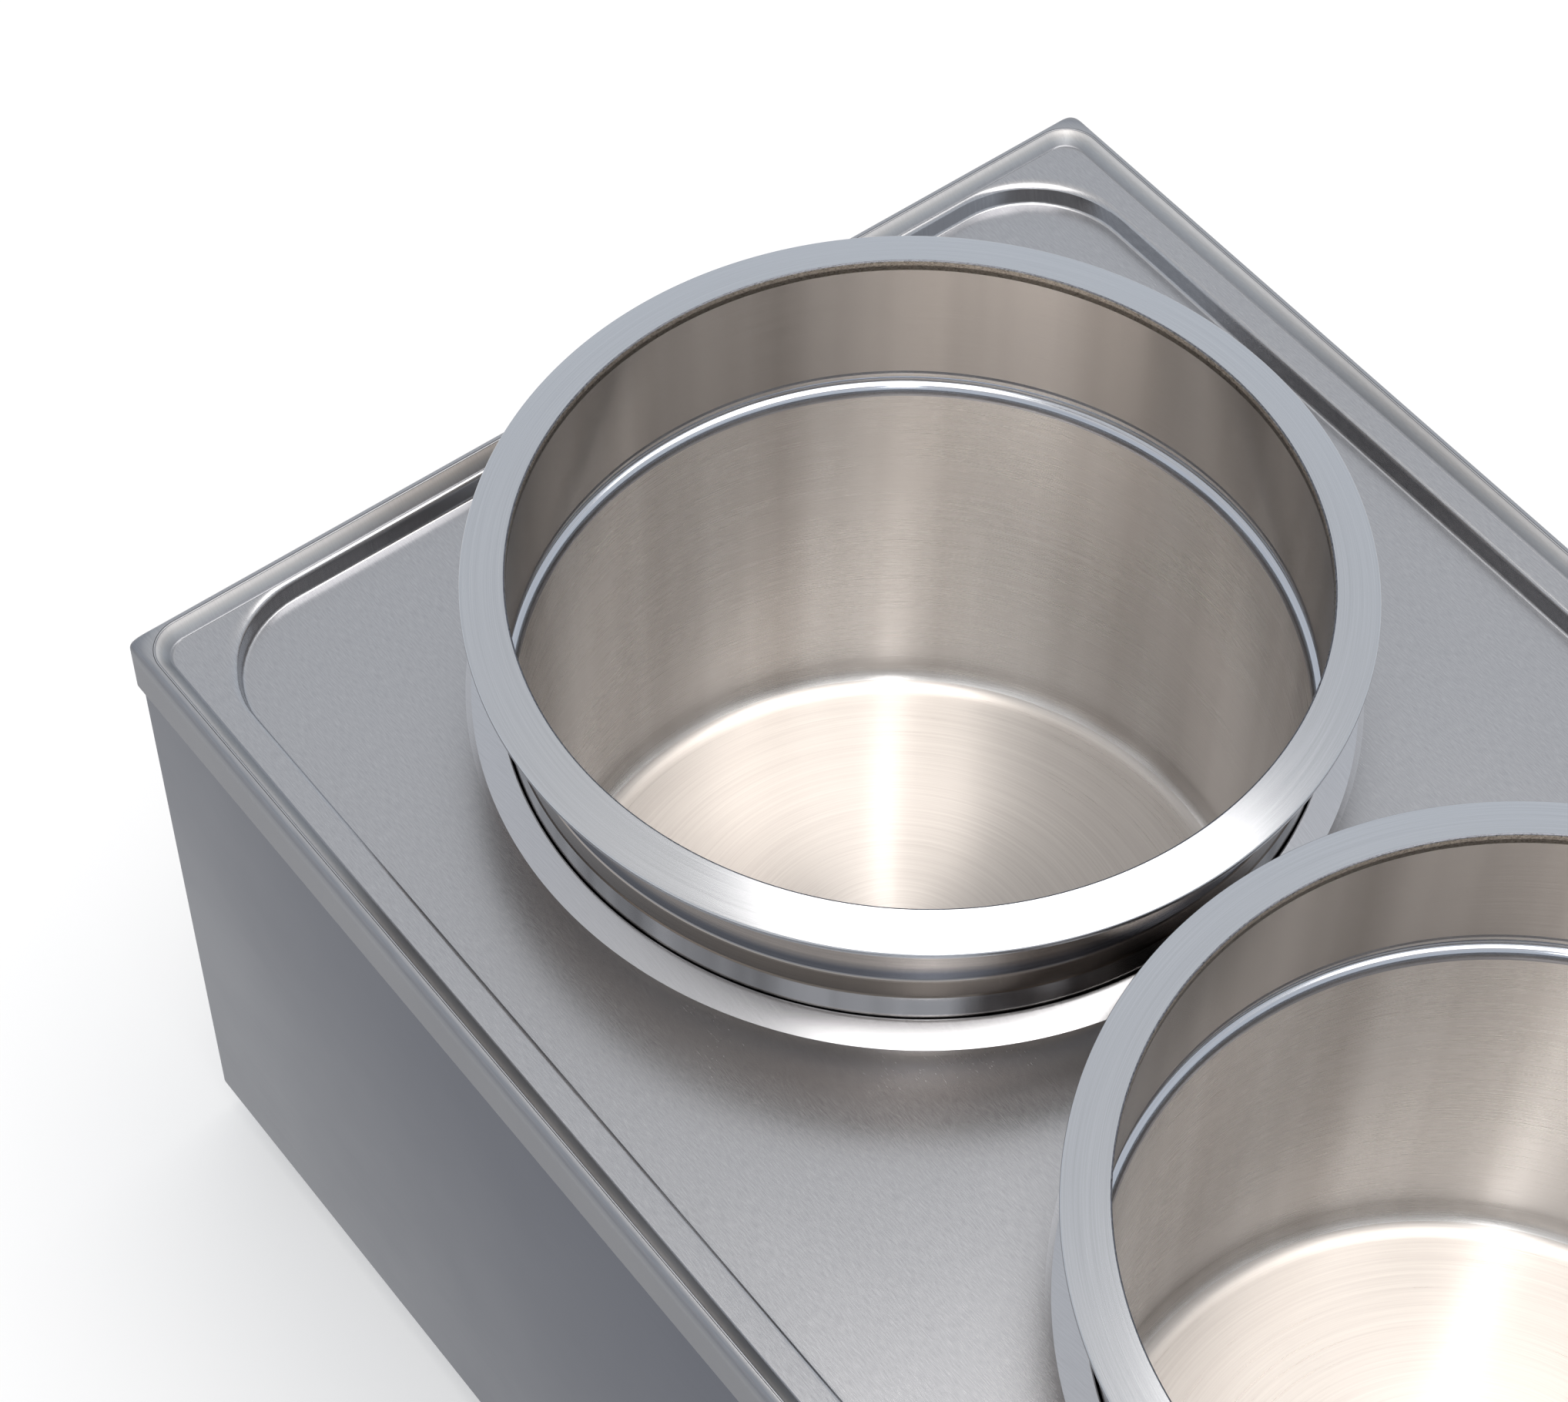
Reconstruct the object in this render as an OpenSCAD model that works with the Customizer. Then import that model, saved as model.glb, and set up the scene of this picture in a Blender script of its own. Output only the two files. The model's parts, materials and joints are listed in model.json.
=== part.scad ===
// Countertop bain marie: two round lift-out pots in a row over one heated water bath.
// Lengths are in millimetres and +Z is up. The controls and the drain tap face -Y.
// The origin is the middle of the bounding box, at the height that the feet stand on.

/* [Pots] */
// Outer radius of the neck, the straight band between the flange and the shoulder
neck_r = 111.2; // [105:0.1:125]
// How far the flange reaches out past the neck
flange_w = 8.8; // [7:0.1:12]
// How far the rounded inner lip of the flange reaches in past the neck
lip_in = 3.4; // [2.5:0.1:5]
// Rise of the flange from its outer edge to its lip
flange_rise = 2.4; // [1:0.1:4]
// Thickness of the flange at its outer edge
flange_t = 1.6; // [1.2:0.1:2.5]
// Wall thickness of a pot
pot_t = 1; // [0.8:0.05:1.5]
// Step from the neck in to the body of the pot
shoulder_in = 2.2; // [1.8:0.1:4]
// Height of the neck, from the flange's edge down to the rolled groove
neck_h = 46.2; // [40:0.1:60]
// Depth of a pot inside, from the flange's outer edge to its floor
pot_depth = 186; // [150:1:240]
// Inside radius where the wall turns into the floor
pot_fillet = 8; // [4:0.5:15]
// Gap between the flanges of the two pots
rim_gap = 3.7; // [2:0.1:30]

/* [Top deck] */
// Thickness of the sheet of the deck, the tank and the casing
sheet_t = 1; // [0.8:0.1:1.5]
// Radial clearance of a pot's neck in its hole
pot_fit = 0.4; // [0.3:0.05:1]
// Radius of the roll at the inner edge of a collar
roll_r = 2; // [1.5:0.1:3]
// Width of a collar's sloping face
cone_w = 5.7; // [4:0.1:7]
// Rise of a collar above the deck
collar_rise = 2.4; // [0.8:0.1:3]
// Height of a pot's flange edge above the deck
pot_stand = 44.4; // [35:0.1:60]
// Deck between a collar and the long wall of the recess
side_land = 31; // [20:0.5:60]
// Deck between a collar and the short wall of the recess
end_land = 4.3; // [3:0.1:60]
// Depth of the recess below the flat rim
recess_d = 6; // [3:0.1:10]
// Corner radius of the recess
recess_r = 32; // [20:0.5:45]
// Width of the flat rim and raised edge on the long sides
rim_side = 15.3; // [12:0.1:30]
// Width of the flat rim and raised edge on the short sides
rim_end = 8.1; // [8:0.1:30]
// Height of the raised edge above the flat rim
rim_rise = 3.4; // [2:0.1:5]
// Distance from the outer face in to the crest of the raised edge
crest_in = 2; // [1.6:0.1:2.2]
// Drop from the crest out to the outer edge
edge_drop = 1; // [0.5:0.1:1.5]
// Width of the inner slope of the raised edge
ramp_w = 4.4; // [3:0.1:4.6]
// Corner radius of the crest line
crest_r = 11; // [8:0.5:15]
// Height of the turned-down skirt
skirt_h = 17; // [12:0.5:25]

/* [Casing] */
// Clearance between the skirt and the casing
skirt_fit = 0.3; // [0.2:0.05:0.6]
// Width of the inward flanges along the bottom of the casing
bottom_lip = 12; // [11:0.5:14]
// Clearance between sheets that lie side by side
panel_fit = 0.2; // [0.1:0.05:0.3]
// Height of the wiring space between the base plate and the tank
service_h = 45; // [45:1:80]
// Height of a rubber foot
foot_h = 16; // [14:0.5:30]
// Top radius of a rubber foot
foot_r = 16; // [14:0.5:18]
// Distance from the casing's faces in to a foot's axis
foot_in = 34; // [32:1:60]
// Length of one vent slot in the base plate
vent_l = 60; // [30:1:70]
// Number of vent slots in each row
vent_n = 7; // [3:1:9]

/* [Tank and heating] */
// Distance between a pot's underside and the tank's floor
under_pot = 24; // [22:0.5:60]
// Width of the tank's flange under the deck
tank_lip = 7; // [5:0.5:8]
// Radius of the heating element's tube
tube_r = 4.25; // [3:0.05:4.5]
// Height of the element's axis above the tank's floor
element_lift = 15; // [13:0.5:16]
// Half the distance between the element's two runs
element_half = 55; // [40:1:80]
// Bend radius of the element's legs
element_bend = 11.5; // [9:0.5:11.5]
// Distance from the tank's rear wall to the element's legs
element_back = 36; // [28:1:60]
// Distance from the tank's front wall to the element's turn
element_front = 40; // [36:1:90]

/* [Controls] */
// Height of the controls' centres above the base plate's underside
control_h = 23.5; // [23:0.5:24]
// Distance from the casing's right face in to the knob's axis
knob_in = 64.3; // [54:0.1:76]
// Radius of the knob
knob_r = 19; // [17:0.5:20]
// Depth of the knob
knob_d = 20; // [16:0.5:28]
// Radius of the thermostat's spindle
spindle_r = 3; // [2.5:0.1:3.5]
// Radial running clearance of the spindle and the valve stem
run_fit = 0.05; // [0.02:0.01:0.1]
// Distance from the casing's left face in to the switch's middle
switch_in = 54.3; // [40:0.1:68]
// Width of the rocker switch's bezel
switch_w = 24; // [22:0.5:28]
// Height of the rocker switch's bezel
switch_h = 31; // [29:0.5:33]
// Tilt of the rocker each side of level
rocker_tilt = 9; // [6:0.5:10]
// Distance from the switch's middle to the first lamp's axis
lamp_first = 34; // [30:1:40]
// Distance between the two lamps' axes
lamp_step = 22; // [18:1:24]
// Radius of a lamp's body
lamp_r = 5; // [4:0.1:6]

/* [Drain tap] */
// Outer radius of the drain pipe
pipe_r = 8; // [7:0.1:9]
// Bore radius of the drain and the tap
bore_r = 5; // [4:0.1:5.5]
// Distance from the tank's front wall to the drain's axis
drain_set = 17; // [16:0.5:24]
// Distance from the casing's front face to the valve's axis
valve_out = 26; // [24:0.5:40]
// Radius of the valve's ball
ball_r = 9; // [8.5:0.1:9.5]
// Distance from the valve's axis to the spout's axis
spout_out = 19; // [19:0.5:30]
// Length of the valve's lever from its axis
lever_l = 52; // [40:1:56]

/* [Hidden] */
$fn = 96;

// Plan of the deck, worked outwards from the pots
rim_r = neck_r + flange_w;
hole_r = neck_r + pot_fit;
collar_r = hole_r + roll_r + cone_w;
pitch = 2 * rim_r + rim_gap;
recess_w = 2 * (collar_r + side_land);
recess_l = pitch + 2 * (collar_r + end_land);
top_w = recess_w + 2 * rim_side;
top_l = recess_l + 2 * rim_end;
case_w = top_w - 2 * (sheet_t + skirt_fit);
case_l = top_l - 2 * (sheet_t + skirt_fit);

// Heights, worked upwards from the feet
base_z = foot_h;
floor_z = base_z + sheet_t;
tank_under = floor_z + service_h;
tank_floor = tank_under + sheet_t;
pot_under = tank_floor + under_pot;
pot_floor = pot_under + pot_t;
rim_z = pot_floor + pot_depth;
deck_z = rim_z - pot_stand;
flat_z = deck_z + recess_d;
crest_z = flat_z + rim_rise;
edge_z = crest_z - edge_drop;
skirt_z = edge_z - skirt_h;
control_z = base_z + control_h;

// Pot profile
neck_in = neck_r - pot_t;
body_r = neck_r - shoulder_in;
groove_h = 4.2;
groove_d = 0.4;
shoulder_h = 3.4;
seat_r = (neck_r + body_r) / 2;
seat_gap = 0.55;
seat_z = rim_z - neck_h - groove_h - shoulder_h / 2 - seat_gap;

// Tank
tank_w = recess_w - 2 * tank_lip;
tank_l = recess_l - 2 * tank_lip;
tank_r = recess_r - tank_lip;
tank_in_l = tank_l - 2 * sheet_t;

// Heating element
element_z = tank_floor + element_lift;
leg_y = tank_in_l / 2 - element_back;
turn_y = -tank_in_l / 2 + element_front + element_half;
bush_r = tube_r + 3;
bush_flange_r = tube_r + 5.5;
gasket_t = 1;

// Drain and tap
face_y = -case_l / 2;
inner_y = face_y + sheet_t;
knob_x = case_w / 2 - knob_in;
switch_x = -case_w / 2 + switch_in;
lamp_xs = [switch_x + lamp_first, switch_x + lamp_first + lamp_step];
drain_y = -tank_in_l / 2 + drain_set;
drain_bend = 12;
valve_y = face_y - valve_out;
spout_y = valve_y - spout_out;
spout_mouth = 6;
stem_r = 3;
boss_top = control_z + 17;
lever_t = 2.5;
lever_gap = 0.5;

// Rear gland
gland_x = case_w / 2 - knob_in;
gland_r = 9;
gland_bore = 4.2;
gland_out = 18;

// Shift that puts the origin in the middle of the bounding box
front_reach = -spout_y + pipe_r + 1;
rear_reach = case_l / 2 + gland_out;
shift_y = (front_reach - rear_reach) / 2;

// Small clearances and screws
fit = 0.1;
cut = 1;
m4_r = 2;
m5_r = 2.5;
screw_fit = 0.2;

// Puts the assembly where the origin is the middle of the bounding box
module place() {
  translate([0, shift_y, 0]) children();
}

// Flat rounded rectangle
module round_rect(w, l, r) {
  square([w - 2 * r, l], center = true);
  square([w, l - 2 * r], center = true);
  for (x = [-1, 1], y = [-1, 1]) translate([x * (w / 2 - r), y * (l / 2 - r)]) circle(r);
}

// Rounded block standing on z0
module round_block(w, l, r, z0, h) {
  translate([0, 0, z0]) linear_extrude(h) round_rect(w, l, r);
}

// Square block standing on z0
module block(w, l, z0, h) {
  translate([-w / 2, -l / 2, z0]) cube([w, l, h]);
}

// Cylinder along +Y from y0, with its axis at x and z
module rod_y(x, z, y0, len, r) {
  translate([x, y0, z]) rotate([-90, 0, 0]) cylinder(h = len, r = r);
}

// Hexagonal prism along +Z, af across its flats
module hex(af, h) {
  cylinder(h = h, r = af / sqrt(3), $fn = 6);
}

// Cross-section of the raised edge; t is how far it lies inside the outer skin
module edge_section(t) {
  polygon([
    [-t, flat_z - t - cut],
    [-t, edge_z - t],
    [-crest_in, crest_z - t],
    [-crest_in - ramp_w, flat_z - t],
    [-crest_in - ramp_w, flat_z - t - cut]
  ]);
}

// Straight run of the raised edge along Y, its outer face at x
module edge_run(x, len, t) {
  translate([x, len / 2, 0]) rotate([90, 0, 0]) linear_extrude(len) edge_section(t);
}

// One outer corner of the raised edge, round along the crest and square outside
module edge_corner(t) {
  reach = crest_r + crest_in;
  rotate_extrude(angle = 90) translate([reach, 0]) edge_section(t);
  difference() {
    translate([0, 0, flat_z - t - cut]) cube([reach - t, reach - t, edge_z - flat_z + cut]);
    translate([0, 0, flat_z - 2 * t - 2 * cut]) cylinder(h = recess_d + rim_rise + 2 * cut, r = crest_r);
  }
}

// Everything under the deck's top surface before the recess is pressed, t inside the skin
module deck_block(t) {
  reach = crest_r + crest_in;
  low = skirt_z - (t > 0 ? cut : 0);
  block(top_w - 2 * t, top_l - 2 * t, low, flat_z - t - low);
  for (a = [0, 180]) rotate(a) {
    edge_run(top_w / 2, top_l - 2 * reach, t);
    rotate(90) edge_run(top_l / 2, top_w - 2 * reach, t);
    translate([top_w / 2 - reach, top_l / 2 - reach, 0]) edge_corner(t);
    translate([-top_w / 2 + reach, top_l / 2 - reach, 0]) rotate(90) edge_corner(t);
  }
}

// Points of a quarter of a circle in plan r, z, from angle a0 to a1
function arc(cr, cz, r, a0, a1, n = 6) =
  [for (i = [0:n]) let (a = a0 + (a1 - a0) * i / n) [cr + r * cos(a), cz + r * sin(a)]];

// Collar of one hole: sloping face, roll, tube and the lip that the pot sits on
module collar() {
  top = deck_z + collar_rise;
  mid_r = hole_r + roll_r;
  rotate_extrude() polygon(concat(
    [[collar_r, deck_z - sheet_t], [collar_r, deck_z]],
    arc(mid_r, top - roll_r, roll_r, 90, 180),
    [[hole_r, seat_z], [seat_r, seat_z], [seat_r, seat_z - sheet_t], [hole_r + sheet_t, seat_z - sheet_t]],
    arc(mid_r, top - roll_r, roll_r - sheet_t, 180, 90)
  ));
}

// Pressed top sheet with raised edge, recess, skirt and two collared holes
module top_deck() {
  color([0.72, 0.73, 0.75]) place() {
    difference() {
      deck_block(0);
      round_block(recess_w, recess_l, recess_r, deck_z, crest_z - deck_z + cut);
      difference() {
        deck_block(sheet_t);
        round_block(recess_w + 2 * sheet_t, recess_l + 2 * sheet_t, recess_r + sheet_t,
          deck_z - sheet_t, crest_z - deck_z + cut);
      }
      for (s = [-1, 1]) translate([0, s * pitch / 2, deck_z - sheet_t - cut])
        cylinder(h = sheet_t + 2 * cut, r = collar_r - cut);
    }
    for (s = [-1, 1]) translate([0, s * pitch / 2, 0]) collar();
  }
}

// Water tank welded under the deck, open at the top, with holes for the element and the drain
module water_tank() {
  lip_z = deck_z - 2 * sheet_t;
  color([0.66, 0.67, 0.69]) place() difference() {
    union() {
      round_block(tank_w, tank_l, tank_r, tank_under, lip_z - tank_under + sheet_t);
      round_block(recess_w - 2 * fit, recess_l - 2 * fit, recess_r - fit, lip_z, sheet_t);
    }
    round_block(tank_w - 2 * sheet_t, tank_in_l, tank_r - sheet_t, tank_floor,
      lip_z - tank_floor + 3 * sheet_t);
    translate([0, drain_y, tank_under - cut]) cylinder(h = sheet_t + 2 * cut, r = pipe_r + screw_fit);
    for (s = [-1, 1]) translate([s * element_half, leg_y, tank_under - cut])
      cylinder(h = sheet_t + 2 * cut, r = bush_r + screw_fit);
  }
}

// Places of the screws that hold the base plate to the casing's bottom flanges
function base_screw_places() = concat(
  [for (x = [-1, 1], y = [-0.8, 0, 0.8]) [x * (case_w - bottom_lip) / 2, y * (case_l - bottom_lip) / 2]],
  [for (x = [-0.5, 0.5], y = [-1, 1]) [x * case_w / 2, y * (case_l - bottom_lip) / 2]]
);

// Depth of the flange under the flat rim, on the sides and on the ends
side_lip = case_w / 2 - recess_w / 2 - sheet_t - cut;
end_lip = case_l / 2 - recess_l / 2 - sheet_t - cut;

// Heights of the casing's lower and upper flanges, outer faces
panel_low = base_z - sheet_t;
panel_high = flat_z - sheet_t;

// Holes of the base screws through the bottom flanges and the base plate
module base_screw_holes() {
  for (p = base_screw_places()) translate([p[0], p[1], panel_low - cut])
    cylinder(h = 2 * (sheet_t + cut), r = m4_r + screw_fit);
}

// Left side: a wall with flanges turned in at the bottom and the top
module casing_side() {
  l = case_l - 2 * (bottom_lip + panel_fit);
  difference() {
    union() {
      translate([-case_w / 2, -case_l / 2, panel_low]) cube([sheet_t, case_l, panel_high - panel_low]);
      translate([-case_w / 2, -l / 2, panel_low]) cube([bottom_lip, l, sheet_t]);
      translate([-case_w / 2, -l / 2, panel_high - sheet_t]) cube([sheet_t + side_lip, l, sheet_t]);
    }
    base_screw_holes();
  }
}

module casing_left() {
  color([0.47, 0.49, 0.52]) place() casing_side();
}

module casing_right() {
  color([0.47, 0.49, 0.52]) place() rotate(180) casing_side();
}

// Front sheet without its cut-outs: returns at both sides and flanges at the bottom and the top
module casing_end() {
  w = case_w - 2 * (sheet_t + panel_fit);
  difference() {
    translate([-w / 2, face_y, panel_low]) cube([w, bottom_lip, panel_high - panel_low]);
    translate([-w / 2 + sheet_t, inner_y, base_z])
      cube([w - 2 * sheet_t, bottom_lip, panel_high - sheet_t - base_z]);
    translate([-w / 2 - cut, face_y + end_lip, panel_high - sheet_t - cut])
      cube([w + 2 * cut, bottom_lip, 2 * sheet_t + cut]);
    base_screw_holes();
  }
}

// Rear sheet, cut for the cable gland
module casing_rear() {
  color([0.47, 0.49, 0.52]) place() difference() {
    rotate(180) casing_end();
    rod_y(gland_x, control_z, case_l / 2 - sheet_t - cut, sheet_t + 2 * cut, gland_r - 2 + screw_fit);
  }
}

// Front sheet, cut for the knob, switch, lamps and tap
module front_panel() {
  color([0.5, 0.52, 0.55]) place() difference() {
    casing_end();
    rod_y(knob_x, control_z, face_y - cut, sheet_t + 2 * cut, spindle_r + 2);
    for (s = [-1, 1])
      rod_y(knob_x + s * therm_screw_x, control_z, face_y - cut, sheet_t + 2 * cut, m4_r + screw_fit);
    for (x = lamp_xs) rod_y(x, control_z, face_y - cut, sheet_t + 2 * cut, lamp_r + screw_fit);
    rod_y(0, control_z, face_y - cut, sheet_t + 2 * cut, pipe_r + screw_fit);
    translate([switch_x - switch_w / 2 + 1.5, face_y - cut, control_z - switch_h / 2 + 1.5])
      cube([switch_w - 3, sheet_t + 2 * cut, switch_h - 3]);
  }
}

// Base plate on the bottom flanges, with two rows of vent slots
module base_plate() {
  w = case_w - 4 * (sheet_t + panel_fit);
  l = case_l - 2 * (sheet_t + 2 * panel_fit);
  color([0.6, 0.61, 0.63]) place() difference() {
    block(w, l, base_z, sheet_t);
    base_screw_holes();
    for (p = foot_places()) translate([p[0], p[1], base_z - cut])
      cylinder(h = sheet_t + 2 * cut, r = m5_r + screw_fit);
    for (x = [-1, 1], i = [0:vent_n - 1])
      translate([x * case_w / 7 - vent_l / 2 + 15 * x, (i - (vent_n - 1) / 2) * 14 - 1.5, base_z - cut])
        cube([vent_l, 3, sheet_t + 2 * cut]);
    translate([earth_x, earth_y, base_z - cut]) cylinder(h = sheet_t + 2 * cut, r = m5_r + screw_fit);
  }
}

// Feet
function foot_places() =
  [for (y = [-1, 1], x = [-1, 1]) [x * (case_w / 2 - foot_in), y * (case_l / 2 - foot_in)]];
foot_taper = 3;
foot_head_z = foot_h / 2;

// One rubber foot, index 0 to 3: front left, front right, rear left, rear right
module foot(i) {
  p = foot_places()[i];
  color([0.12, 0.12, 0.13]) place() translate([p[0], p[1], 0]) difference() {
    rotate_extrude() polygon([
      [0, 0], [foot_r - foot_taper - 1, 0], [foot_r - foot_taper, 1],
      [foot_r, foot_h - 2], [foot_r, foot_h], [0, foot_h]
    ]);
    translate([0, 0, -cut]) cylinder(h = foot_h + 2 * cut, r = m5_r + screw_fit);
    translate([0, 0, -cut]) cylinder(h = foot_head_z + cut, r = 6);
  }
}

// Screws that hold the feet, heads up inside the rubber
module foot_screws() {
  color([0.7, 0.7, 0.72]) place() for (p = foot_places()) translate([p[0], p[1], foot_head_z]) {
    translate([0, 0, -3]) difference() {
      cylinder(h = 3, r = 4.5);
      translate([0, 0, -cut]) hex(4, 1.5 + cut);
    }
    cylinder(h = foot_h - foot_head_z + sheet_t + 6, r = m5_r);
  }
}

// Nuts on the foot screws, on top of the base plate
module foot_nuts() {
  color([0.7, 0.7, 0.72]) place() for (p = foot_places()) translate([p[0], p[1], floor_z]) difference() {
    hex(8, 4);
    translate([0, 0, -cut]) cylinder(h = 4 + 2 * cut, r = m5_r + run_fit);
  }
}

// Screws through the bottom flanges and the base plate
module base_screws() {
  color([0.7, 0.7, 0.72]) place() for (p = base_screw_places()) translate([p[0], p[1], base_z - sheet_t]) {
    translate([0, 0, -2.2]) difference() {
      cylinder(h = 2.2, r = 3.6);
      translate([-3, -0.5, -cut]) cube([6, 1, 1 + cut]);
    }
    cylinder(h = 2 * sheet_t + 4, r = m4_r);
  }
}

// Tubular heating element: two legs, two runs and one half turn
module heating_element() {
  leg_low = tank_under - 14;
  color([0.35, 0.34, 0.33]) place() {
    for (s = [-1, 1]) translate([s * element_half, 0, 0]) {
      translate([0, leg_y, leg_low]) cylinder(h = element_z - element_bend - leg_low, r = tube_r);
      translate([0, leg_y - element_bend, element_z - element_bend]) rotate([90, 0, 90])
        rotate_extrude(angle = 90) translate([element_bend, 0]) circle(tube_r);
      rod_y(0, element_z, turn_y, leg_y - element_bend - turn_y, tube_r);
      translate([0, leg_y, leg_low - 8]) cylinder(h = 8, r = 1.5);
    }
    translate([0, turn_y, element_z]) rotate(180)
      rotate_extrude(angle = 180) translate([element_half, 0]) circle(tube_r);
  }
}

// Brass bushes that carry the legs through the tank's floor
module element_bushes() {
  color([0.78, 0.62, 0.3]) place() for (s = [-1, 1]) translate([s * element_half, leg_y, 0]) difference() {
    union() {
      translate([0, 0, tank_under - 9]) cylinder(h = 9 + sheet_t + gasket_t, r = bush_r);
      translate([0, 0, tank_floor + gasket_t]) cylinder(h = 2, r = bush_flange_r);
    }
    translate([0, 0, tank_under - 10]) cylinder(h = 20, r = tube_r + run_fit);
  }
}

// Rubber washers under the bushes' flanges
module element_gaskets() {
  color([0.55, 0.16, 0.12]) place()
  for (s = [-1, 1]) translate([s * element_half, leg_y, tank_floor]) difference() {
    cylinder(h = gasket_t, r = bush_flange_r);
    translate([0, 0, -cut]) cylinder(h = gasket_t + 2 * cut, r = bush_r + screw_fit);
  }
}

// Nuts on the bushes, under the tank's floor
module element_nuts() {
  color([0.78, 0.62, 0.3]) place()
  for (s = [-1, 1]) translate([s * element_half, leg_y, tank_under - 5]) difference() {
    hex(2 * bush_r + 5, 5);
    translate([0, 0, -cut]) cylinder(h = 5 + 2 * cut, r = bush_r + run_fit);
  }
}

// Clips that hold the element's runs above the tank's floor
module element_clips() {
  clip_r = tube_r + 1.2;
  color([0.7, 0.7, 0.72]) place()
  for (x = [-1, 1], y = [-0.25, 0.25]) translate([x * element_half, y * tank_in_l, 0]) {
    difference() {
      union() {
        rod_y(0, element_z, -4, 8, clip_r);
        block(3, 8, tank_floor, element_z - tank_floor);
      }
      rod_y(0, element_z, -4 - cut, 8 + 2 * cut, tube_r + run_fit);
    }
    block(14, 8, tank_floor, 1);
  }
}

// Thermostat
therm_w = 40;
therm_d = 22;
therm_h = 36;
therm_screw_x = 14;
bulb_r = 3;
bulb_l = 80;
capillary_r = 0.8;
bulb_z = tank_under - bulb_r - fit;
bulb_y = -tank_in_l / 2 + 90;
cap_bend = 6;
cap_drop_y = inner_y + therm_d + 16;
cap_low_z = control_z + 6;

// Thermostat body behind the front panel, with its spindle bore and screw holes
module thermostat_body() {
  color([0.85, 0.84, 0.8]) place() difference() {
    translate([knob_x - therm_w / 2, inner_y, control_z - therm_h / 2]) cube([therm_w, therm_d, therm_h]);
    rod_y(knob_x, control_z, inner_y - cut, 14 + cut, spindle_r + run_fit);
    for (s = [-1, 1]) rod_y(knob_x + s * therm_screw_x, control_z, inner_y - cut, 6 + cut, m4_r + run_fit);
  }
}

// Sensing bulb under the tank's floor and the capillary that joins it to the thermostat
module thermostat_bulb() {
  drop = bulb_z - cap_low_z;
  color([0.74, 0.45, 0.28]) place() translate([knob_x, 0, 0]) {
    rod_y(0, bulb_z, bulb_y, bulb_l, bulb_r);
    translate([0, bulb_y - 5, bulb_z]) rotate([-90, 0, 0]) cylinder(h = 5, r1 = capillary_r, r2 = bulb_r);
    rod_y(0, bulb_z, cap_drop_y + cap_bend, bulb_y - 5 - cap_drop_y - cap_bend, capillary_r);
    translate([0, cap_drop_y + cap_bend, bulb_z - cap_bend]) rotate([90, 0, 90]) rotate(90)
      rotate_extrude(angle = 90) translate([cap_bend, 0]) circle(capillary_r, $fn = 24);
    translate([0, cap_drop_y, cap_low_z + cap_bend]) cylinder(h = drop - 2 * cap_bend, r = capillary_r);
    translate([0, cap_drop_y - cap_bend, cap_low_z + cap_bend]) rotate([90, 0, 90]) rotate(-90)
      rotate_extrude(angle = 90) translate([cap_bend, 0]) circle(capillary_r, $fn = 24);
    rod_y(0, cap_low_z, inner_y + therm_d, cap_drop_y - cap_bend - inner_y - therm_d, capillary_r);
  }
}

// Clips that press the bulb against the tank's floor
module bulb_clips() {
  color([0.7, 0.7, 0.72]) place()
  for (y = [0.2, 0.8]) translate([knob_x, bulb_y + y * bulb_l, 0]) difference() {
    union() {
      rod_y(0, bulb_z, -4, 8, bulb_r + 1);
      translate([-10, -4, tank_under - 1]) cube([20, 8, 1]);
    }
    rod_y(0, bulb_z, -5, 10, bulb_r + run_fit);
    translate([-20, -5, tank_under]) cube([40, 10, 10]);
    translate([-bulb_r - run_fit, -5, bulb_z]) cube([2 * (bulb_r + run_fit), 10, 10]);
  }
}

// Screws that hold the thermostat, hidden behind the knob
module thermostat_screws() {
  color([0.7, 0.7, 0.72]) place() for (s = [-1, 1]) translate([knob_x + s * therm_screw_x, 0, 0]) {
    rod_y(0, control_z, face_y, sheet_t + 5, m4_r);
    rod_y(0, control_z, face_y - 1.6, 1.6, 3.4);
  }
}

knob_gap = 2.2;
knob_back = face_y - knob_gap;

// Spindle that turns with the knob
module thermostat_spindle() {
  color([0.75, 0.75, 0.77]) place()
  rod_y(knob_x, control_z, knob_back - 12, 12 + knob_gap + sheet_t + 13, spindle_r);
}

// Round knob with a raised grip bar and a pointer groove
module control_knob() {
  color([0.09, 0.09, 0.1]) place() difference() {
    translate([knob_x, knob_back, control_z]) rotate([90, 0, 0]) {
      rotate_extrude() polygon([
        [0, 0], [knob_r, 0], [knob_r, 2.5], [knob_r - 1, 3.5],
        [knob_r - 2.5, 9], [knob_r - 3.5, 10], [0, 10]
      ]);
      intersection() {
        translate([-4, -knob_r + 3, 0]) cube([8, 2 * (knob_r - 3), knob_d]);
        cylinder(h = knob_d, r = knob_r - 3);
      }
    }
    rod_y(knob_x, control_z, knob_back - 12, 12 + cut, spindle_r + run_fit);
    translate([knob_x - 0.6, knob_back - knob_d - cut, control_z + 3]) cube([1.2, 1.6 + cut, knob_r]);
  }
}

// Rocker switch
rocker_w = switch_w - 7;
rocker_h = switch_h - 8;
bezel_t = 2.5;
pivot_y = face_y + 3;
pivot_r = 1.2;
rocker_gap = 0.4;

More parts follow.
